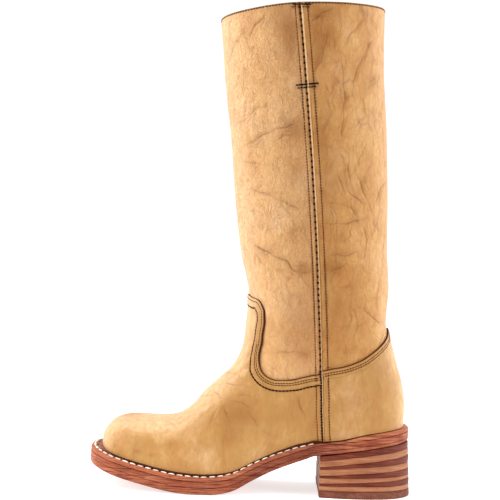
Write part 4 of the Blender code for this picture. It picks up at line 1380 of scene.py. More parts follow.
@dataclass
class Upper:
    """Shaft panels, overlays, piping, straps, lining and all their stitching.

    A field that ends in _wall is a thickness, and one in _cell the size of a mesh's faces. One
    that ends in _shade says how dark the leather is painted beside a side seam, mostly as shade and
    partly as burnish, and over how many millimetres. piping_end and black_seam are the heights
    between which the piping runs out and the painted shadow in the seam's groove grows darker and
    wider.
    """

    skin: LastSkin
    wall: float = 1.0
    overlay_wall: float = 0.7
    lining_wall: float = 0.95
    strap_wall: float = 1.6
    strap_half: float = 10.5
    fine: float = 0.5
    fine_reach: float = 9.0
    coarse: float = 1.45
    overlay_cell: float = 1.3
    lining_cell: float = 3.5
    under_overlay: float = 12.0
    under_border: float = 2.6
    rope_top: float = 104.0
    front_shade: tuple[float, float] = (0.36, 24.0)
    back_shade: tuple[float, float] = (0.23, 26.0)
    overlay_shade: tuple[float, float] = (0.13, 20.0)
    piping_end: tuple[float, float] = (338.0, 345.0)
    black_seam: tuple[float, float] = (380.0, 392.0)
    seams: dict[Side, SideSeam] = field(init=False)
    vamp_edge: CutEdge = field(init=False)
    counter_edge: CutEdge = field(init=False)
    stitcher: Stitcher = field(init=False)

    def __post_init__(self) -> None:
        """Finds the seams and the overlays' edges."""
        self.seams = {side: SideSeam(self.skin, side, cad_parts[f"piping_{side.label}"]) for side in Side}
        self.vamp_edge = CutEdge(self.skin, VAMP_EDGE, TONGUE_TOP, float(self.skin.TOE), 0.2)
        self.counter_edge = CutEdge(self.skin, COUNTER_EDGE, COUNTER_PEAK, float(self.skin.COLUMNS))
        self.stitcher = Stitcher()

    # -- panels

    def _panel(self, rows: Array, front: bool) -> tuple[Array, Array]:
        """Spreads a grid between the two seams, finer beside them.

        Args:
            rows: The skin's rows that it uses.
            front: Whether it crosses the front of the leg rather than the back.

        Returns:
            Columns and rows, as grids.
        """
        outer, inner = (self.seams[side].column(rows) for side in Side)
        start, end = (outer, inner) if front else (inner, outer + self.skin.COLUMNS)
        dense = start[:, None] + (end - start)[:, None] * np.linspace(0, 1, 500)
        alongs = [lengths(line) for line in self.skin.at(dense, np.repeat(rows[:, None], dense.shape[1], axis=1))]
        edge = np.arange(0.1, self.fine_reach, self.fine)
        middle = int((max(along[-1] for along in alongs) - 2 * self.fine_reach) / self.coarse)
        column = []
        for along, places in zip(alongs, dense):
            open_part = np.linspace(self.fine_reach, along[-1] - self.fine_reach, middle)
            column.append(np.interp(np.concatenate([edge, open_part, along[-1] - edge[::-1]]), along, places))
        return np.array(column), np.repeat(rows[:, None], len(column[0]), axis=1)

    def _behind(self, points: Array) -> Array:
        """How far behind the nearer side seam each point lies."""
        outer, inner = (self.seams[side].gap(points) for side in Side)
        return np.where(np.abs(outer) < np.abs(inner), outer, inner)

    def _even_rows(self, low: float, high: float, spacing: float) -> Array:
        """Rows from low to high that lie about this far apart along the outer seam."""
        dense = np.linspace(low, high, 800)
        along = lengths(self.skin.at(self.seams[Side.OUTER].column(dense), dense))
        return np.interp(np.linspace(0, along[-1], int(along[-1] / spacing) + 1), along, dense)

    @staticmethod
    def _swell(base: Array) -> Array:
        """Slow, slight waves that leather has where nothing holds it."""
        x, y, z = base[..., 0], base[..., 1], base[..., 2]
        wave = np.sin(z / 21.0 + x / 17.0) + 0.7 * np.sin(z / 13.0 - y / 15.0 + 1.3)
        return 0.16 * (wave + 0.5 * np.sin(x / 9.0 + z / 31.0)) * smooth(407.0, 385.0, z)

    def _sheet(
        self,
        name: str,
        column: Array,
        row: Array,
        height: Array,
        tone: Array,
        grain: float | Array,
        marks: dict[str, Array],
    ) -> Piece:
        """Lays a sheet of pull-up leather over the skin.

        Args:
            name: The piece's name.
            column: The skin's columns, as a grid.
            row: The skin's rows.
            height: The sheet's height over the skin.
            tone: How dark it is.
            grain: How much of the fine grain it has.
            marks: The fold and gap numbers of its creases.

        Returns:
            The piece, without thickness.
        """
        points = self.skin.raised(column, row, height)
        bend = self.skin.bend(column, row)
        return lay_grid(name, points, tone=np.clip(tone, 0.0, 1.0), grain=grain + 0.0 * bend, bend=bend, **marks)

    def shaft_panel(self, front: bool) -> None:
        """Builds the front or the back panel of the shaft."""
        column, row = self._panel(self._even_rows(2.0, self.skin.top, self.coarse), front)
        base = self.skin.at(column, row)
        creases = Creases(self.skin, *((FRONT_FOLDS, FRONT_STAINS) if front else (BACK_FOLDS, BACK_STAINS)))
        folds, marks = creases.press(base)
        behind, high = self._behind(base), base[..., 2]
        bare, black = smooth(*self.piping_end, high), smooth(*self.black_seam, high)
        # Painted shade, partly burnish, darkens the leather towards the side seams.
        (back, back_wide), (fore, fore_wide) = self.back_shade, self.front_shade
        seam_tone = np.where(behind > 0, back * bell(behind, back_wide), fore * bell(behind, fore_wide))
        # Painted shadow in the seam's groove, darker and wider where the piping has run out and higher up the leg.
        groove = (0.5 + 0.2 * bare + 0.3 * black) * bell(behind + 0.3 * black, 0.6 + 0.2 * bare + 0.6 * black)
        piece = self._sheet(
            "shaft_front" if front else "shaft_back",
            column,
            row,
            seam_relief(behind) + folds + self._swell(base),
            creases.soak(base) + seam_tone + groove,
            smooth(300.0, 60.0, np.abs(high - 285.0)) if front else 0.5,
            marks,
        )
        edge = self.vamp_edge if front else self.counter_edge
        drop(piece, edge.inside(base) > self.under_overlay)
        thicken(piece, self.wall)
        nodes = ("upper",) if front else ()
        finish_piece(piece, FRONT_LEATHER if front else BACK_LEATHER, "upper_leather", *nodes)

    def overlay(self, front: bool) -> None:
        """Builds the vamp or the counter, thin under its border and full past it."""
        name, edge = ("vamp", self.vamp_edge) if front else ("counter", self.counter_edge)
        rows = self._even_rows(-0.9, float(edge.path.row.max()) + 0.1, self.overlay_cell)
        column, row = self._panel(rows, front)
        base = self.skin.at(column, row)
        inside = edge.inside(base)
        creases = Creases(self.skin, *((VAMP_FOLDS, VAMP_STAINS) if front else ((), COUNTER_STAINS)))
        folds, marks = creases.press(base)
        over = np.linalg.norm(base - self.skin.at(column, np.zeros_like(row)), axis=2)
        body = 0.2 + (1.3 if front else 1.6) * smooth(4.5, 8.4, inside) - self.skin.skived(base)
        behind = self._behind(base)
        height = body + seam_relief(behind) * smooth(3.0, 7.0, inside) + folds
        height = height + self._swell(base) * smooth(10.0, 30.0, inside)
        # low is the strip beside the welt, darkened as painted shade in the crease there and partly as burnish.
        low = smooth(5.0, 0.0, over) * smooth(75.0, 55.0, base[..., 0])
        shade, wide = self.overlay_shade
        # tone: stain marks, painted shade (partly burnish) towards the seam, painted shadow in the seam's groove, and
        # the painted shade beside the welt.
        tone = creases.soak(base) + shade * bell(behind, wide) + 0.7 * bell(behind, 0.9) + 0.45 * low
        if front:
            height = height + 0.4 * smooth(8.9, 12.0, inside)
            # Painted shade in the crease along the bold row.
            tone = tone + 0.6 * bell(inside - BOLD_ROW, 0.8)
        piece = self._sheet(f"{name}_leather", column, row, height, tone, 0.2, marks)
        drop(piece, inside < self.under_border)
        thicken(piece, self.overlay_wall)
        finish_piece(piece, OVERLAY_LEATHER, "overlay_leather", name)

    def _along_edge(self, edge: CutEdge, section: list[tuple[Any, Any]]) -> Array:
        """Carries a closed section of distances inside an edge, and heights, along the edge."""
        return np.stack([self.skin.raised(*edge.at(distance), height) for distance, height in section], axis=1)[1:-1]

    def band(self, front: bool) -> None:
        """Builds the turned, stitched border of the vamp or the counter."""
        edge, section = (self.vamp_edge, VAMP_BAND) if front else (self.counter_edge, COUNTER_BAND)
        section = [*section, section[0]]
        points = self._along_edge(edge, section)
        peak = smooth(146.0, 158.0, edge.path.points[1:-1, 2:]) if front else 0.0
        shape = np.zeros(points.shape[:2])
        tone = (shape + [1.0 if distance < 0.5 else 0.12 for distance, _ in section]) * (1.0 - 0.7 * peak)
        bend = shape + self.skin.bend(edge.path.column, edge.path.row)[1:-1, None]
        name = "vamp_border" if front else "counter_border"
        piece = roll(name, points, True, tone=tone, fold=shape, gap=shape + Creases.FAR, grain=shape + 0.2, bend=bend)
        finish_piece(piece, OVERLAY_LEATHER, "overlay_leather")

    def edge_ink(self, front: bool) -> None:
        """Builds the dark bead along the vamp's or the counter's cut edge: the inked edge, and the painted shadow
        beside it, which widens where the edge stands upright.
        """
        edge = self.vamp_edge if front else self.counter_edge
        peak = smooth(148.0, 158.0, edge.path.points[:, 2]) if front else 0.0
        # Wider where the upright edge's painted shadow falls.
        thick = 0.3 + (0.32 * edge.upright if front else 0.0) - 0.17 * peak
        angles = np.linspace(0, 2 * math.pi, 9)
        section = [(0.2 - thick * (1.0 + math.cos(a)), 0.9 + 0.7 * math.sin(a) - 0.3 * peak) for a in angles]
        points = self._along_edge(edge, section)
        name = "vamp_edge_ink" if front else "counter_edge_ink"
        finish_piece(roll(name, points, True, tone=np.ones(points.shape[:2])), EDGE_INK, "overlay_leather")

    # -- trim

    def piping(self, side: Side) -> None:
        """Builds the folded strip that shows beside a side seam."""
        seam = self.seams[side]
        path = seam.path(1.0, bottom=-0.4, top=self.skin.top - 0.05)
        lift, high = self._over_overlays(path), path.points[:, 2]
        start = PIPING_FOLD[0][0]
        wide = 0.72 - 0.12 * smooth(350.0, 300.0, high) - 0.25 * smooth(260.0, 120.0, high)
        loops, tones = [], []
        for distance, height, shade in (*PIPING_FOLD, PIPING_FOLD[0]):
            column, row = seam.shifted(path, start + (distance - start) * wide)
            loops.append(self.skin.raised(column, row, lift + height))
            # Painted shade: darker where the strip dips into the groove, and lower down the leg where it lies
            # flatter.
            tones.append(np.clip(shade + 0.22 * smooth(300.0, 190.0, high), 0.0, 1.0))
        name = f"piping_{side.label}"
        piece = roll(f"{name}_strip", np.stack(loops, axis=1), True, tone=np.stack(tones, axis=1))
        finish_piece(piece, PIPING_LEATHER, "piping_leather", name)

    def _over_overlays(self, path: SurfacePath) -> Array:
        """How high the overlays lift a line along a side seam."""
        level = max(self.vamp_edge.path.points[0][2], self.counter_edge.path.points[0][2])
        return OVERLAY * smooth(level + 1.5, level - 1.5, path.points[:, 2])

    def _lay(self, rows: list[StitchRow]) -> tuple[Array, Array, Array]:
        """Lays several rows of stitches as one."""
        return tuple(np.vstack(part) for part in zip(*(row.lay(self.skin) for row in rows)))

    def seam_stitching(self) -> None:
        """Sews the rows beside both seams and the stitches across them."""
        for side, seam in self.seams.items():
            path = seam.path(0.8, bottom=-0.3, top=self.skin.top - 0.08)
            lift = self._over_overlays(path)
            rows = [StitchRow(*seam.shifted(path, distance), lift * 1.05 - 0.1, 2.4) for distance in SEAM_ROWS]
            name = f"seam_rows_{side.label}"
            self.stitcher.sew(name, self._lay(rows), (2.0, 0.9, 0.8), ROW_THREAD, "piping_leather")
            high = path.points[:, 2] > self.rope_top
            for name, part, pitch, size in (
                ("beads", high, 4.9, (2.6, 2.0, 1.4)),
                ("rope", ~high, 2.35, (2.8, 1.7, 1.3)),
            ):
                row = StitchRow(path.column[part], path.row[part], lift[part] - 0.05, pitch, across=True)
                laid = row.lay(self.skin)
                self.stitcher.sew(f"seam_{name}_{side.label}", laid, size, DARK_THREAD, "piping_leather")

    def edge_stitching(self) -> None:
        """Sews the rows along the overlays' edges."""
        small, bold = (2.0, 0.85, 0.7), (2.9, 1.5, 1.0)
        for name, edge, distances, height, pitch, size, thread in (
            ("vamp_fine_rows", self.vamp_edge, FINE_ROWS, 1.75, 2.3, small, ROW_THREAD),
            ("vamp_bold_row", self.vamp_edge, (BOLD_ROW,), 1.6, 2.9, bold, DARK_THREAD),
            ("counter_rows", self.counter_edge, COUNTER_ROWS, 1.77, 2.3, small, ROW_THREAD),
        ):
            rows = []
            for distance in distances:
                column, row = edge.at(distance)
                shown = np.arange(2, len(row) - 2)
                parts = [shown]
                if distance == FINE_ROWS[1]:
                    low = edge.path.points[shown, 2] < SECOND_ROW_TOP
                    parts = [shown[low & (shown < len(row) / 2)], shown[low & (shown > len(row) / 2)]]
                rows += [StitchRow(column[k], row[k], height, pitch) for k in parts]
            self.stitcher.sew(name, self._lay(rows), size, thread, "overlay_leather")

    def collar(self) -> None:
        """Builds the collar's burnished edge with its row of stitches, and the lining."""
        around = np.linspace(0, self.skin.COLUMNS, 265)
        top = np.full(len(around), float(self.skin.top))
        loops = [self.skin.raised(around, top, height) + [0.0, 0.0, rise] for height, rise in COLLAR_SECTION]
        finish_piece(roll("collar_edge", np.stack(loops, axis=1), False), COLLAR_EDGE, "lining_leather")
        per_row = np.linalg.norm(self.skin.sense(around, top)[2], axis=1)
        laid = StitchRow(around, top - 1.1 / per_row, 0.05, 2.7).lay(self.skin)
        self.stitcher.sew("collar_row", laid, (2.1, 0.9, 0.8), DARK_THREAD, "upper_leather")
        rows = self._even_rows(0.0, self.skin.top - 0.03, self.lining_cell)
        column, row = np.meshgrid(np.linspace(0, self.skin.COLUMNS, 133), rows)
        piece = lay_grid("lining", self.skin.raised(column, row, -1.25))
        weld(piece, False, False)
        thicken(piece, self.lining_wall)
        finish_piece(piece, LINING_LEATHER, "lining_leather")

    def pull_strap(self, side: Side) -> None:
        """Builds the pull strap inside the collar and the bars of stitches that show outside."""
        name, seam = f"pull_strap_{side.label}", self.seams[side]
        low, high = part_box(name)
        bottom, top = (self.skin.beside((low.x + high.x) / 2 / MM, end.z / MM, side)[1] for end in (low, high))
        path = seam.path(1.6, bottom=bottom, top=top)
        across = np.linspace(-self.strap_half, self.strap_half, 19)
        column, row = (np.stack(part, axis=1) for part in zip(*(seam.shifted(path, d) for d in across)))
        height = -3.0 - 0.35 * (1 - (np.abs(across) / self.strap_half) ** 4)
        piece = lay_grid(f"{name}_leather", self.skin.raised(column, row, height))
        thicken(piece, self.strap_wall, flip=False)
        finish_piece(piece, LINING_LEATHER, "lining_leather", name)
        for k, (start, end, size) in enumerate(BAR_TACK):
            places = np.array([self.skin.seen(x, z, side) for x, z in np.linspace(start, end, 30)])
            away = seam.gap(self.skin.at(places[:, 0], places[:, 1]))
            height = seam_relief(away) * 0.3 + 0.5 * bell(away - 2.0, 2.0) + 0.35
            laid = StitchRow(places[:, 0], places[:, 1], height, 2.1).lay(self.skin)
            self.stitcher.sew(f"bar_tack_{side.label}_{k + 1}", laid, size, DARK_THREAD, "upper_leather")

    def build(self) -> None:
        """Builds every piece of the upper."""
        for front in (True, False):
            self.shaft_panel(front)
            self.overlay(front)
            self.band(front)
            self.edge_ink(front)
        for side in Side:
            self.piping(side)
            self.pull_strap(side)
        self.seam_stitching()
        self.edge_stitching()
        self.collar()


# ---------------------------------------------------------------- the sole


class SoleLine:
    """The widest line of the sole, and the heights of its layers along it."""

    STEPS = 8

    def __init__(self) -> None:
        """Reads the line from the frame, with STEPS points for each of the frame's."""
        rim, mids = self._paired("outsole"), self._paired("midsole")
        rim = rim[np.argsort(np.arctan2(rim[:, 1], rim[:, 0]))]
        match = [np.linalg.norm(mids[:, :2] - p, axis=1).argmin() for p in rim[:, :2]]
        fine = self._finer(np.column_stack([rim, mids[match][:, 3]]))
        self.line, (self.turn, self.outsole_top, self.midsole_top) = fine[:, :2], fine[:, 2:].T
        ways = unit(np.roll(self.line, -1, axis=0) - np.roll(self.line, 1, axis=0))
        self.outs = np.stack([ways[:, 1], -ways[:, 0]], axis=1)
        self.breast = float(self._vertices("heel_rand")[:, 0].min())

    @staticmethod
    def _vertices(name: str) -> Array:
        """A node's merged vertices in millimetres."""
        co = np.array([v.co[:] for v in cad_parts[name].data.vertices]) / MM
        return np.unique(np.round(co, 2), axis=0)

    def _paired(self, name: str) -> Array:
        """Places whose x and y occur at two heights: x, y, the lower and the upper height."""
        found: dict[tuple[float, float], list[float]] = {}
        for x, y, z in self._vertices(name):
            found.setdefault((round(x, 1), round(y, 1)), []).append(z)
        return np.array([(x, y, min(z), max(z)) for (x, y), z in found.items() if max(z) - min(z) > 0.8])

    def _finer(self, values: Array) -> Array:
        """Adds smooth points between the values of a closed line."""
        around = [np.roll(values, k, axis=0) for k in (1, 0, -1, -2)]
        fine = [curve(*around, t) for t in np.arange(self.STEPS) / self.STEPS]
        return np.stack(fine, axis=1).reshape(-1, values.shape[1])

    @staticmethod
    def share(x: Array) -> Array:
        """How much of their full height the welt and the rand keep; they thin out where they meet."""
        return 1.0 - 0.68 * smooth(34.0, 60.0, x) * smooth(98.0, 70.0, x)

    @staticmethod
    def waist(x: Array) -> Array:
        """How far each place lies in the waist, where the edge is darker."""
        return (0.4 * smooth(-120.0, -40.0, x) + 0.6 * smooth(-30.0, 15.0, x)) * smooth(80.0, 60.0, x)

    def inset(self, distance: float) -> Array:
        """The line moved inwards."""
        return self.line - self.outs * distance

    def stretch(self, keep: Array) -> Array:
        """The numbers, in order, of the line's points in the one stretch where a mask is true."""
        start = int(np.flatnonzero(keep & ~np.roll(keep, 1))[0])
        order = (start + np.arange(len(keep))) % len(keep)
        return order[keep[order]]


def quarter(radius: float, steps: int, up: bool) -> list[tuple[float, float]]:
    """A rounded corner as insets and distances from the face it meets.

    Args:
        radius: The corner's radius.
        steps: How many points it has.
        up: Whether it runs from the face to the side, rather than back.

    Returns:
        Pairs of an inset from the side and a depth under the face.
    """
    angles = np.linspace(0, math.pi / 2, steps)
    pairs = [(radius * (1 - math.sin(a)), radius * (1 - math.cos(a))) for a in angles]
    return pairs if up else pairs[::-1]


@dataclass
class Sole:
    """Welt, rand, midsole and outsole."""

    skin: LastSkin
    line: SoleLine
    stitcher: Stitcher
    welt_thickness: float = 3.5
    edge_round: float = 2.2
    stitch_inset: float = 3.4
    channel_inset: float = 6.0
    cell: float = 4.0

    def _tread(self) -> Array:
        """The height of the outsole's lower face along the line."""
        return np.maximum(self.line.turn - self.edge_round, 0.0)

    def _layer(
        self,
        node: str,
        top: Array,
        bottom: Array,
        upper: list[tuple[float, float]],
        lower: list[tuple[float, float]],
        tones: list[float],
    ) -> None:
        """Builds a closed layer from rings round the sole, with a spread of points over its faces.

        Args:
            node: The frame's node that it replaces.
            top: The upper face's height along the line.
            bottom: The lower face's height along the line.
            upper: Pairs of an inset and a depth under the upper face, inwards edge first.
            lower: Pairs of an inset and a height over the lower face, inwards edge last.
            tones: How dark each ring is, the upper ones first.
        """
        rings = [np.column_stack([self.line.inset(inset), top - depth]) for inset, depth in upper]
        rings += [np.column_stack([self.line.inset(inset), bottom + rise]) for inset, rise in lower]
        count = len(top)
        points = [tuple(p) for ring in rings for p in ring]
        tone = [t for t in tones for _ in range(count)]
        faces: list[tuple[int, ...]] = []
        for k in range(0, len(points) - count, count):
            for i in range(count):
                j = (i + 1) % count
                faces.append((k + i, k + j, k + count + j, k + count + i))
        for first, ring, shade in ((0, rings[0], tones[0]), (len(points) - count, rings[-1], tones[-1])):
            net = [Vector(p) for p in np.vstack([ring[:, :2], self._spread(ring)])]
            flat = delaunay_2d_cdt(net, [], [list(range(count))], 1, 1e-4)
            half = ring[ring[:, 1] <= 0.0]
            half = half[np.argsort(half[:, 0])]
            index = {}
            for k, (place, origin) in enumerate(zip(flat[0], flat[3])):
                if origin and origin[0] < count:
                    index[k] = first + origin[0]
                else:
                    index[k] = len(points)
                    points.append((place.x, place.y, float(np.interp(place.x, half[:, 0], half[:, 2]))))
                    tone.append(shade)
            faces += [tuple(index[k] for k in face) for face in flat[2]]
        places = np.array(points)
        piece = link_mesh(f"{node}_leather", places, faces)
        set_attribute(piece, "tone", np.clip(np.array(tone) + 0.46 * self.line.waist(places[:, 0]), 0.0, 1.0))
        in_edit_mode(piece, lambda: bpy.ops.mesh.normals_make_consistent(inside=False))
        finish_piece(piece, SOLE_LEATHER, "sole_leather", node)

    def _spread(self, ring: Array) -> Array:
        """Points on a square net that lie well inside a ring."""
        low, high = ring[:, :2].min(axis=0), ring[:, :2].max(axis=0)
        x, y = np.meshgrid(np.arange(low[0], high[0], self.cell), np.arange(low[1], high[1], self.cell))
        net = np.stack([x.ravel(), y.ravel()], axis=1)
        a, b = ring[:, :2], np.roll(ring[:, :2], -1, axis=0)
        crossed = (a[None, :, 1] > net[:, None, 1]) != (b[None, :, 1] > net[:, None, 1])
        rise = np.where(b[:, 1] == a[:, 1], 1e-9, b[:, 1] - a[:, 1])
        at = a[None, :, 0] + (net[:, None, 1] - a[None, :, 1]) / rise * (b - a)[None, :, 0]
        inside = (np.sum(crossed & (net[:, None, 0] < at), axis=1) % 2) == 1
        gap = np.linalg.norm(net[:, None] - a[None], axis=2).min(axis=1)
        return net[inside & (gap > self.cell * 0.5)]

    def layers(self) -> None:
        """Builds the midsole, and the outsole with the channel of its seam underneath."""
        line, channel = self.line, self.channel_inset
        upper = [(8.0, 0.0), (0.9, 0.0), *quarter(0.5, 4, True)]
        lower = [*quarter(0.45, 4, False), (0.8, 0.0), (8.0, 0.0)]
        tones = [0.3, 0.3, 0.4, 0.3, 0.15, 0.0, 0.0, 0.15, 0.4, 0.6, 0.6, 0.6]
        self._layer("midsole", line.midsole_top, line.outsole_top + 0.1, upper, lower, tones)
        upper = [(8.0, 0.0), (0.8, 0.0), *quarter(0.45, 4, True)]
        groove = [(channel - 0.7, 0.0), (channel, 0.6), (channel + 0.7, 0.0)]
        lower = [*quarter(self.edge_round, 7, False), *groove, (9.0, 0.0)]
        tones = [0.6, 0.6, 0.55, 0.35, 0.15, *[0.0] * 5, 0.1, 0.2, 0.2, 0.0, 0.5, 0.0, 0.0]
        self._layer("outsole", line.outsole_top, self._tread(), upper, lower, tones)

    def _strip(self, node: str, front: bool, section: list[tuple[float | None, float]]) -> None:
        """Builds a strip on the midsole along part of the sole's line.

        Args:
            node: The frame's node that it replaces.
            front: Whether it runs round the forefoot rather than the heel.
            section: Pairs of an inset and a height over the midsole; an inset of None reaches
                under the upper.
        """
        line, base = self.line.line, self.line.midsole_top
        feather = self.skin.at(np.linspace(0, self.skin.COLUMNS, 441)[:-1], np.zeros(440))[:, :2]
        reach = np.linalg.norm(line[:, None] - feather[None], axis=2).min(axis=1) - 0.6
        order = self.line.stretch(
            line[:, 0] < self.line.breast + 0.5 if front else line[:, 0] > self.line.breast - 1.0
        )
        loops, tones = [], []
        for inset, height in (*section, section[0]):
            move = reach if inset is None else np.minimum(inset, reach)
            spot = line - self.line.outs * np.reshape(move, (-1, 1))
            loops.append(np.column_stack([spot, base + height * self.line.share(line[:, 0])])[order])
            # Rings that reach under the upper are painted dark as shade.
            tones.append(0.0 if inset is not None else 0.9 if front else 0.4)
        points = np.stack(loops, axis=1)
        tone = np.array(tones) + 0.35 * self.line.waist(points[..., 0])
        piece = roll(f"{node}_strip", points, True, tone=np.clip(tone, 0.0, 1.0))
        finish_piece(piece, WELT_LEATHER, "welt_leather", node)

    def strips(self) -> None:
        """Builds the welt round the forefoot, and the rand round the heel seat."""
        top = self.welt_thickness
        self._strip("welt", True, [
            (None, 0.15), (0.9, 0.15), (0.25, 0.4), (0.0, 1.1), (0.05, 1.9), (0.5, 2.8), (1.3, top - 0.15),
            (2.2, top), (2.9, top), (3.4, top - 0.35), (4.4, top - 0.35), (4.9, top), (None, top + 0.2),
        ])
        self._strip("heel_rand", False, [
            (None, 0.15), (0.8, 0.15), (0.2, 0.5), (0.0, 1.2), (0.1, 2.0), (0.7, 2.8), (1.8, 3.3), (None, 3.5),
        ])

    def stitching(self) -> None:
        """Sews the seam on the welt, the one in the outsole's channel, and the beads round the toe."""
        top = self.line.midsole_top + self.welt_thickness * self.line.share(self.line.line[:, 0])
        below = self._tread() + 0.55
        seam, channel, breast = self.stitch_inset, self.channel_inset, self.line.breast
        for name, inset, level, reach, up, pitch, size, thread in (
            ("welt_stitches", seam, top + 0.1, breast - 1.0, 1.0, 6.6, (5.1, 1.9, 1.3), WELT_THREAD),
            ("channel_stitches", channel, below, breast - 2.0, -1.0, 6.8, (5.4, 1.25, 1.0), WELT_THREAD),
            ("toe_beads", seam + 2.2, top + 0.2, -104.0, 1.0, 1.7, (1.6, 1.8, 1.2), BEAD_THREAD),
        ):
            path = np.column_stack([self.line.inset(inset), level])
            _, _, centres, ways = spaced(path[self.line.stretch(path[:, 0] < reach)], pitch)
            normals = np.zeros_like(ways) + [0.0, 0.0, up]
            normals = unit(normals - ways * np.sum(normals * ways, axis=1, keepdims=True))
            self.stitcher.sew(name, (centres, ways, normals), size, thread, "welt_leather")

    def crease_ink(self) -> None:
        """Builds the dark line where the upper meets the welt: the crease is inked and burnished, and painted shadow
        darkens it further.
        """
        around = np.linspace(0, self.skin.COLUMNS, 353)
        rows = np.zeros_like(around)
        foot = self.skin.raised(around, rows, OVERLAY + 0.2 - self.skin.skived(self.skin.at(around, rows)))
        x = foot[:, :1]
        behind = smooth(52.0, 66.0, x)
        thick = 1.15 + 0.35 * smooth(0.0, 40.0, x) - 1.0 * behind
        foot[:, 2:] -= self.welt_thickness * (1.0 - self.line.share(x))
        out = unit(self.skin.normal(around, rows) * [1.0, 1.0, 0.0])
        loops = []
        for angle in np.linspace(0, 2 * math.pi, 9):
            rise = 0.3 + thick * (0.5 - 0.5 * behind + math.sin(angle))
            loops.append(foot + out * thick * 0.8 * math.cos(angle) + rise * [0.0, 0.0, 1.0])
        piece = roll("crease_ink", np.stack(loops, axis=1), False, tone=np.ones((len(around), 9)))
        finish_piece(piece, CREASE_INK, "welt_leather")

    def build(self) -> None:
        """Builds the layers, their strips and their seams, and dresses the frame's insole."""
        self.layers()
        self.strips()
        self.crease_ink()
        self.stitching()
        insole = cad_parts["insole"]
        insole.data.materials.clear()
        insole.data.materials.append(dressed(INSOLE_LEATHER))


@dataclass
class Heel:
    """The stacked heel: leather lifts, dark and light in turn, on a top lift.

    levels holds, from a lift's upper face to its lower one, the share of its height, the inset
    there and how dark it is.
    """

    count: int = 8
    step: float = 1.3
    breast: float = 68.0
    set_back: float = 4.0
    levels: tuple[tuple[float, float, float], ...] = (
        (0.0, 0.3, 0.45), (0.12, 0.1, 0.15), (0.3, 0.0, 0.0), (0.7, 0.0, 0.0), (0.88, 0.1, 0.15), (1.0, 0.3, 0.45),
    )

    def _ring(self, points: Array) -> Array:
        """Draws one face's outline smoothly from the few points of the frame's, and sets it back.

        Args:
            points: The outline's points, in any order.

        Returns:
            The outline, from one front corner round the back to the other, and along the front.
        """
        centre = points.mean(axis=0)
        ring = points[np.argsort(np.arctan2(points[:, 1] - centre[1], points[:, 0] - centre[0]))]
        front = ring[:, 0] < ring[:, 0].min() + 0.3
        first = int(np.flatnonzero(~front & np.roll(front, 1))[0]) - 1
        curved = spline(np.roll(ring, -first, axis=0), self.step)
        share = np.linspace(0, 1, 40)[1:-1, None]
        ring = np.vstack([curved, curved[-1] + (curved[0] - curved[-1]) * share])
        set_back = self.set_back + 0.02 * ring[:, 1]
        ring[:, 0] += set_back * smooth(self.breast + 14.0, self.breast, ring[:, 0])
        return ring

    def lift(self, node: str, finish: Finish, slot: str, seed: float) -> None:
        """Builds one lift.

        Args:
            node: The frame's node that it replaces.
            finish: Its finish.
            slot: Handed on to finish_piece, which does not use it.
            seed: Shifts the slight unevenness of its cut.
        """
        mesh = bmesh.new()
        mesh.from_mesh(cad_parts[node].data)
        bmesh.ops.remove_doubles(mesh, verts=mesh.verts, dist=1e-5)
        mesh.normal_update()
        held = [{v for f in mesh.faces if f.normal.z * sign > 0.7 for v in f.verts} for sign in (1, -1)]
        top, bottom = (self._ring(np.array([v.co[:] for v in face]) / MM) for face in held)
        mesh.free()
        share = np.linspace(0, 1, len(bottom))
        top = between(share, np.linspace(0, 1, len(top)), top)
        middle = (top + bottom) / 2
        out = unit((middle - middle.mean(axis=0)) * [1, 1, 0])
        wave = 0.1 * np.sin(share * 43.0 + seed) + 0.08 * np.sin(share * 97.0 + 2 * seed)
        points = np.stack([
            top + (bottom - top) * depth - out * (inset - wave[:, None] * (0.0 < depth < 1.0))
            for depth, inset, _ in self.levels
        ], axis=1)
        points = np.vstack([points, points[:1]])
        tone = np.zeros(points.shape[:2]) + [shade for *_, shade in self.levels]
        finish_piece(roll(f"{node}_leather", points, True, tone=tone), finish, slot, node)

    def build(self) -> None:
        """Builds all lifts and the top lift."""
        for k in range(1, self.count + 1):
            finish, slot = (DARK_LIFT, "dark_lift") if k % 2 else (LIGHT_LIFT, "light_lift")
            self.lift(f"heel_lift_{k}", finish, slot, k * 1.7)
        self.lift("top_lift", TOP_LIFT, "heel_rubber", 9.1)


# ---------------------------------------------------------------- studio

# Each soft box: its place in metres, the length of its side and its power in watts.
SOFT_BOXES = {
    "left_box": ((-1.4, -0.7, 0.8), 1.1, 21.0),
    "right_box": ((1.4, -0.5, 0.7), 1.1, 16.5),
    "top_box": ((-0.3, 0.1, 1.6), 1.2, 14.0),
}
BOX_AIM = (0.0, 0.0, 0.2)
WHITE = (1.0, 1.0, 1.0, 1.0)


def build_camera() -> None:
    """Adds the camera at the photograph's place."""
    data = bpy.data.cameras.new("camera")
    data.lens, data.sensor_width, data.clip_start, data.clip_end = CAMERA_LENS, CAMERA_SENSOR, 0.05, 50.0
    camera = bpy.data.objects.new("camera", data)
    cos, sin = math.cos(CAMERA_ROLL), math.sin(CAMERA_ROLL)
    place = Vector(CAMERA_PLACE) * MM
    camera.matrix_world = Matrix(
        ((cos, -sin, 0.0, place.x), (0.0, 0.0, -1.0, place.y), (sin, cos, 0.0, place.z), (0.0, 0.0, 0.0, 1.0))
    )
    bpy.context.scene.collection.objects.link(camera)
    bpy.context.scene.camera = camera


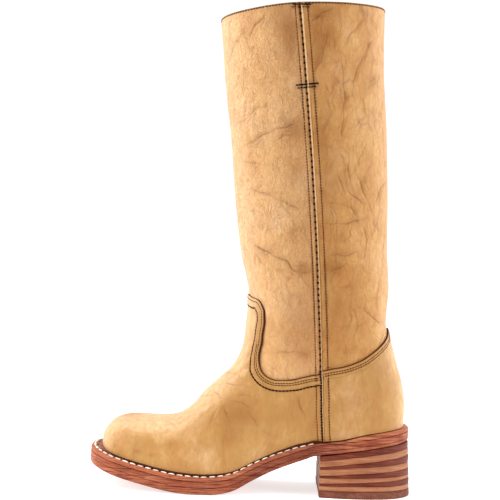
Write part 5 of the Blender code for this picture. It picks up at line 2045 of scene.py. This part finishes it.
def paper_white() -> bpy.types.Material:
    """White paper that glows behind the boot and darkens in front of it, as the photograph's floor does."""
    paper = bpy.data.materials.new("seamless_paper_white")
    paper.use_nodes = True
    tree = paper.node_tree
    shader = tree.nodes["Principled BSDF"]
    shader.inputs["Roughness"].default_value = 0.9
    shader.inputs["Emission Color"].default_value = WHITE
    depth = add_node(tree, "SeparateXYZ", {0: add_node(tree, "TexCoord", output="Object")}, "Y")
    lit = add_node(tree, "MapRange", {"Value": depth, "From Min": -0.3, "From Max": -0.08})
    inputs = {0: lit, 6: (0.35, 0.35, 0.35, 1.0), 7: (0.7, 0.7, 0.7, 1.0)}
    tree.links.new(add_node(tree, "Mix", inputs, 2, data_type="RGBA"), shader.inputs["Base Color"])
    glow = add_node(tree, "Math", {0: lit, 1: 0.65}, operation="MULTIPLY", use_clamp=True)
    tree.links.new(glow, shader.inputs["Emission Strength"])
    return paper


def build_studio() -> None:
    """Adds a white floor, a white surround and soft boxes."""
    select_only()
    bpy.ops.mesh.primitive_plane_add(size=12.0)
    floor = bpy.context.object
    floor.name = "floor"
    floor.data.materials.append(paper_white())
    world = bpy.data.worlds.new("studio")
    world.use_nodes = True
    tree = world.node_tree
    depth = add_node(tree, "SeparateXYZ", {0: add_node(tree, "TexCoord", output="Generated")}, "Y")
    inputs = {"Value": depth, "From Min": -0.7, "From Max": 0.2, "To Min": 0.36, "To Max": 1.05}
    surround = tree.nodes["Background"].inputs
    tree.links.new(add_node(tree, "MapRange", inputs), surround["Strength"])
    surround["Color"].default_value = WHITE
    bpy.context.scene.world = world
    for name, (place, size, energy) in SOFT_BOXES.items():
        data = bpy.data.lights.new(name, "AREA")
        data.size, data.energy = size, energy
        lamp = bpy.data.objects.new(name, data)
        lamp.location = place
        lamp.rotation_euler = (Vector(BOX_AIM) - Vector(place)).to_track_quat("-Z", "Y").to_euler()
        bpy.context.scene.collection.objects.link(lamp)
    bpy.context.scene.view_settings.view_transform = "Standard"


def main() -> None:
    """Builds the boot and the studio."""
    logging.basicConfig(level=logging.INFO, format="%(message)s")
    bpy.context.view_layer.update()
    build_camera()
    build_studio()
    upper = Upper(LastSkin(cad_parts["upper"]))
    upper.build()
    Sole(upper.skin, SoleLine(), upper.stitcher).build()
    Heel().build()


if __name__ == "__main__":
    main()
